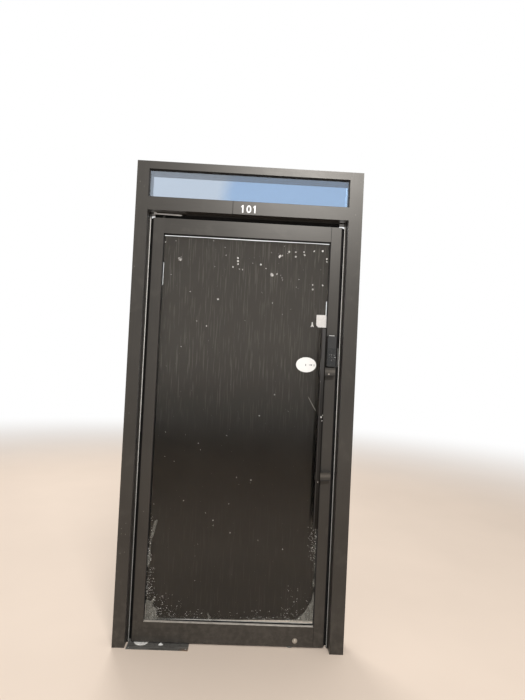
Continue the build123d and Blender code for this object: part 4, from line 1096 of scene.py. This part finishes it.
class DOOR_OT_top_pivot(bpy.types.Operator):
    """Finishes the top pivot, the corner blocks, the cleats and the leaf's screws"""

    bl_idname = "door.top_pivot"
    bl_label = "Top pivot and joints"

    def execute(self, context):
        mill = bare_metal("mill_aluminium", (0.62, 0.62, 0.61), 0.38, (1, 1, 0.05), (0.3, 0.29, 0.27))
        paint(mill, "corner_blocks", "frame_cleats", "top_pivot_socket")
        paint(zinc_steel(), "leaf_screws", "frame_screws")
        paint(bare_metal("pivot_steel", (0.1, 0.095, 0.09), 0.5), "top_pivot_plate", "top_pivot_pin")
        self.make_pivot_lip()
        return {"FINISHED"}

    def make_pivot_lip(self):
        """A turned-down edge before the pivot plate, pale bluish as a painted light of the gap, and a black
        rubber flap over the gap behind it as a painted shade.
        """
        low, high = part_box("top_pivot_plate")
        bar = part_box("transom_bar")[0].z
        painted_light_lip = two_tone("pivot_lip_painted_light", (260, 4, 0.6), (0.66, 0.7, 0.74), (0.88, 0.93, 0.96))
        near = [(2, -0.2), (2, -9.5)]
        far = [(6, -12.5), (12, -9.5), (12, -7), (0, -6)]
        back = [(14, -4), (14, -0.2)]
        outline = [(start + x * MM, bar + z * MM)
                   for start, part in ((low.x, near), (high.x, far), (low.x, back)) for x, z in part]
        turned = plate_mesh(outline, low.y - 1.2 * MM, low.y - 0.1 * MM)
        add_piece("pivot_plate_lip", painted_light_lip, "frame", "steel", turned)
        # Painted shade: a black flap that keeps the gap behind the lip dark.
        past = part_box("brush_pile_top")[0].x
        shade_flap = box_mesh((low.x, past), (24 * MM, 26 * MM), (bar - 22 * MM, bar - 0.1 * MM))
        add_piece("pivot_gap_flap", rubber_finish("flap_rubber"), "frame", "gasket", shade_flap)


class DOOR_OT_fasteners(bpy.types.Operator):
    """Makes the screw heads of the floor plate, the top pivot plate and the keeper"""

    bl_idname = "door.fasteners"
    bl_label = "Screw heads"

    def execute(self, context):
        self.tree = screw_tree()
        cross = screw_head_shape(8 * MM, 2.4 * MM, False)
        hexagon = screw_head_shape(11 * MM, 2.6 * MM, True)
        below = self.corners("plate_screws", 4, 4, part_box("cover_plate")[1].z)
        above = self.corners("top_pivot_plate", 8, 5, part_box("top_pivot_plate")[0].z)
        meshes = [self.heads(below, cross, (0, 0, 1), 1), self.heads(above, cross, (0, 0, -1), 2)]
        screws = add_piece("plate_screw_heads", zinc_steel(), "frame", "steel", *meshes)
        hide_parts("plate_screws")
        low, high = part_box("strike_keeper")
        reach = 8.25 * MM
        beside = [(low.x - 0.1 * MM, 6 * MM, z) for z in (low.z + reach, high.z - reach)]
        caps = self.heads(beside, hexagon, (-1, 0, 0), 5)
        add_piece("keeper_screw_heads", zinc_steel(), "frame", "steel", caps)
        for shape in (cross, hexagon):
            bpy.data.objects.remove(shape)
        return {"FINISHED"}

    def corners(self, node, inset_x, inset_y, z):
        """Four points at a height, inset in mm from the corners of a node."""
        low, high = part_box(node)
        return [(x, y, z) for x in (low.x + inset_x * MM, high.x - inset_x * MM)
                for y in (low.y + inset_y * MM, high.y - inset_y * MM)]

    def heads(self, points, shape, heading, seed):
        look = {"shape": shape, "heading": heading, "seed": seed, "finish": zinc_steel().material}
        return self.tree.grow(plain_mesh(points), **look)


class DOOR_OT_stage(bpy.types.Operator):
    """Sets the floor, the lamps, the white surround and the camera"""

    bl_idname = "door.stage"
    bl_label = "Stage"

    def execute(self, context):
        context.scene.view_settings.view_transform = "Standard"
        self.make_floor()
        self.make_surround(context.scene)
        power = settings().lamp_power
        self.lamp("front_lamp", (1.2, -4, 4.14), (0.55, 0, 1.3), (1.6, 0.3), power)
        self.lamp("back_lamp", (-1.2, 4.4, 4.2), (0.5, 0, 1.2), (2.4, 1), power * 0.7)
        context.scene.camera = self.make_camera()
        return {"FINISHED"}

    def make_floor(self):
        """A wide disc that turns white far out, with a hole for the floor bolt's socket."""
        radii = (0.009, 0.02, 0.05, 0.12, 0.3, 0.8, 2, 5, 12, 30)
        count = 96
        points = [(x, y, 0) for radius in radii for x, y in circle(count, radius, 0.735)]
        floor = placed("floor", plain_mesh(points, faces=ring_faces(count, len(radii))))
        tones = shades(settings().floor_colour, 0.94, 1.04)
        finish = two_tone("floor_plain", (1.3, 3), *tones, 0.75, 1.5)
        light = finish.node("ShaderNodeEmission", None, {"Color": (1, 1, 1), "Strength": 1})
        share = finish.far(finish.x, finish.y).slope(3.5, 9) * self.seen(finish)
        sockets = {0: share, 1: Value(finish, finish.surface.outputs[0]), 2: light}
        blend = finish.node("ShaderNodeMixShader", None, sockets)
        finish.feed(finish.tree.nodes["Material Output"].inputs["Surface"], blend)
        floor.data.materials.append(finish.material)

    def seen(self, nodes):
        """One for rays from the camera, reflections and glass."""
        kinds = ("Is Camera Ray", "Is Glossy Ray", "Is Transmission Ray")
        return reduce(or_, [nodes.node("ShaderNodeLightPath", out=kind) for kind in kinds])

    def make_surround(self, scene):
        scene.world = bpy.data.worlds.new("surround")
        scene.world.use_nodes = True
        nodes = Nodes(scene.world.node_tree)
        background = nodes.tree.nodes["Background"].inputs
        nodes.feed(background["Color"], (1, 1, 1))
        nodes.feed(background["Strength"], 0.6 + self.seen(nodes) * 0.4)

    def lamp(self, name, place, target, size, power):
        data = bpy.data.lights.new(name, "AREA")
        data.shape = "RECTANGLE"
        data.size, data.size_y = size
        data.energy = power
        made = placed(name, data)
        made.rotation_euler = (Vector(target) - Vector(place)).to_track_quat("-Z", "Y").to_euler()
        made.location = place
        made.visible_camera = False
        made.visible_transmission = False

    def make_camera(self):
        """The photograph's viewing angle, from a place before the door."""
        yaw, pitch, roll = 0.0261, 0.0207, 0.0482
        turn = Matrix.Rotation(-yaw, 4, "Z") @ Matrix.Rotation(math.pi / 2 + pitch, 4, "X")
        turn = turn @ Matrix.Rotation(roll, 4, "Z")
        data = bpy.data.cameras.new("camera")
        data.lens = 24.59
        data.clip_start = 0.05
        data.clip_end = 200
        camera = placed("camera", data)
        camera.matrix_world = Matrix.Translation((0.4674, -2.4162, 1.4230)) @ turn
        return camera


class DOOR_PT_panel(bpy.types.Panel):
    """Lists the steps that dress the door"""

    bl_label = "Entrance door"
    bl_idname = "DOOR_PT_panel"
    bl_space_type = "VIEW_3D"
    bl_region_type = "UI"
    bl_category = "Door"

    def draw(self, context):
        for name in DoorSettings.__annotations__:
            self.layout.prop(context.scene.entrance_door, name)
        for step in STEPS:
            self.layout.operator(step.bl_idname)


STEPS = (
    DOOR_OT_frame_members,
    DOOR_OT_leaf_frame,
    DOOR_OT_glass,
    DOOR_OT_film,
    DOOR_OT_glass_marks,
    DOOR_OT_brush_seals,
    DOOR_OT_door_number,
    DOOR_OT_pull_bars,
    DOOR_OT_keypad_lock,
    DOOR_OT_floor_lock,
    DOOR_OT_signs,
    DOOR_OT_floor_closer,
    DOOR_OT_top_pivot,
    DOOR_OT_fasteners,
    DOOR_OT_stage,
)
CLASSES = (DoorSettings, *STEPS, DOOR_PT_panel)


def register():
    for item in CLASSES:
        bpy.utils.register_class(item)
    bpy.types.Scene.entrance_door = PointerProperty(type=DoorSettings)


def unregister():
    del bpy.types.Scene.entrance_door
    for item in reversed(CLASSES):
        bpy.utils.unregister_class(item)


def main():
    """Dresses the door step by step."""
    register()
    for item in STEPS:
        family, name = item.bl_idname.split(".")
        getattr(getattr(bpy.ops, family), name)()


if __name__ == "__main__":
    main()
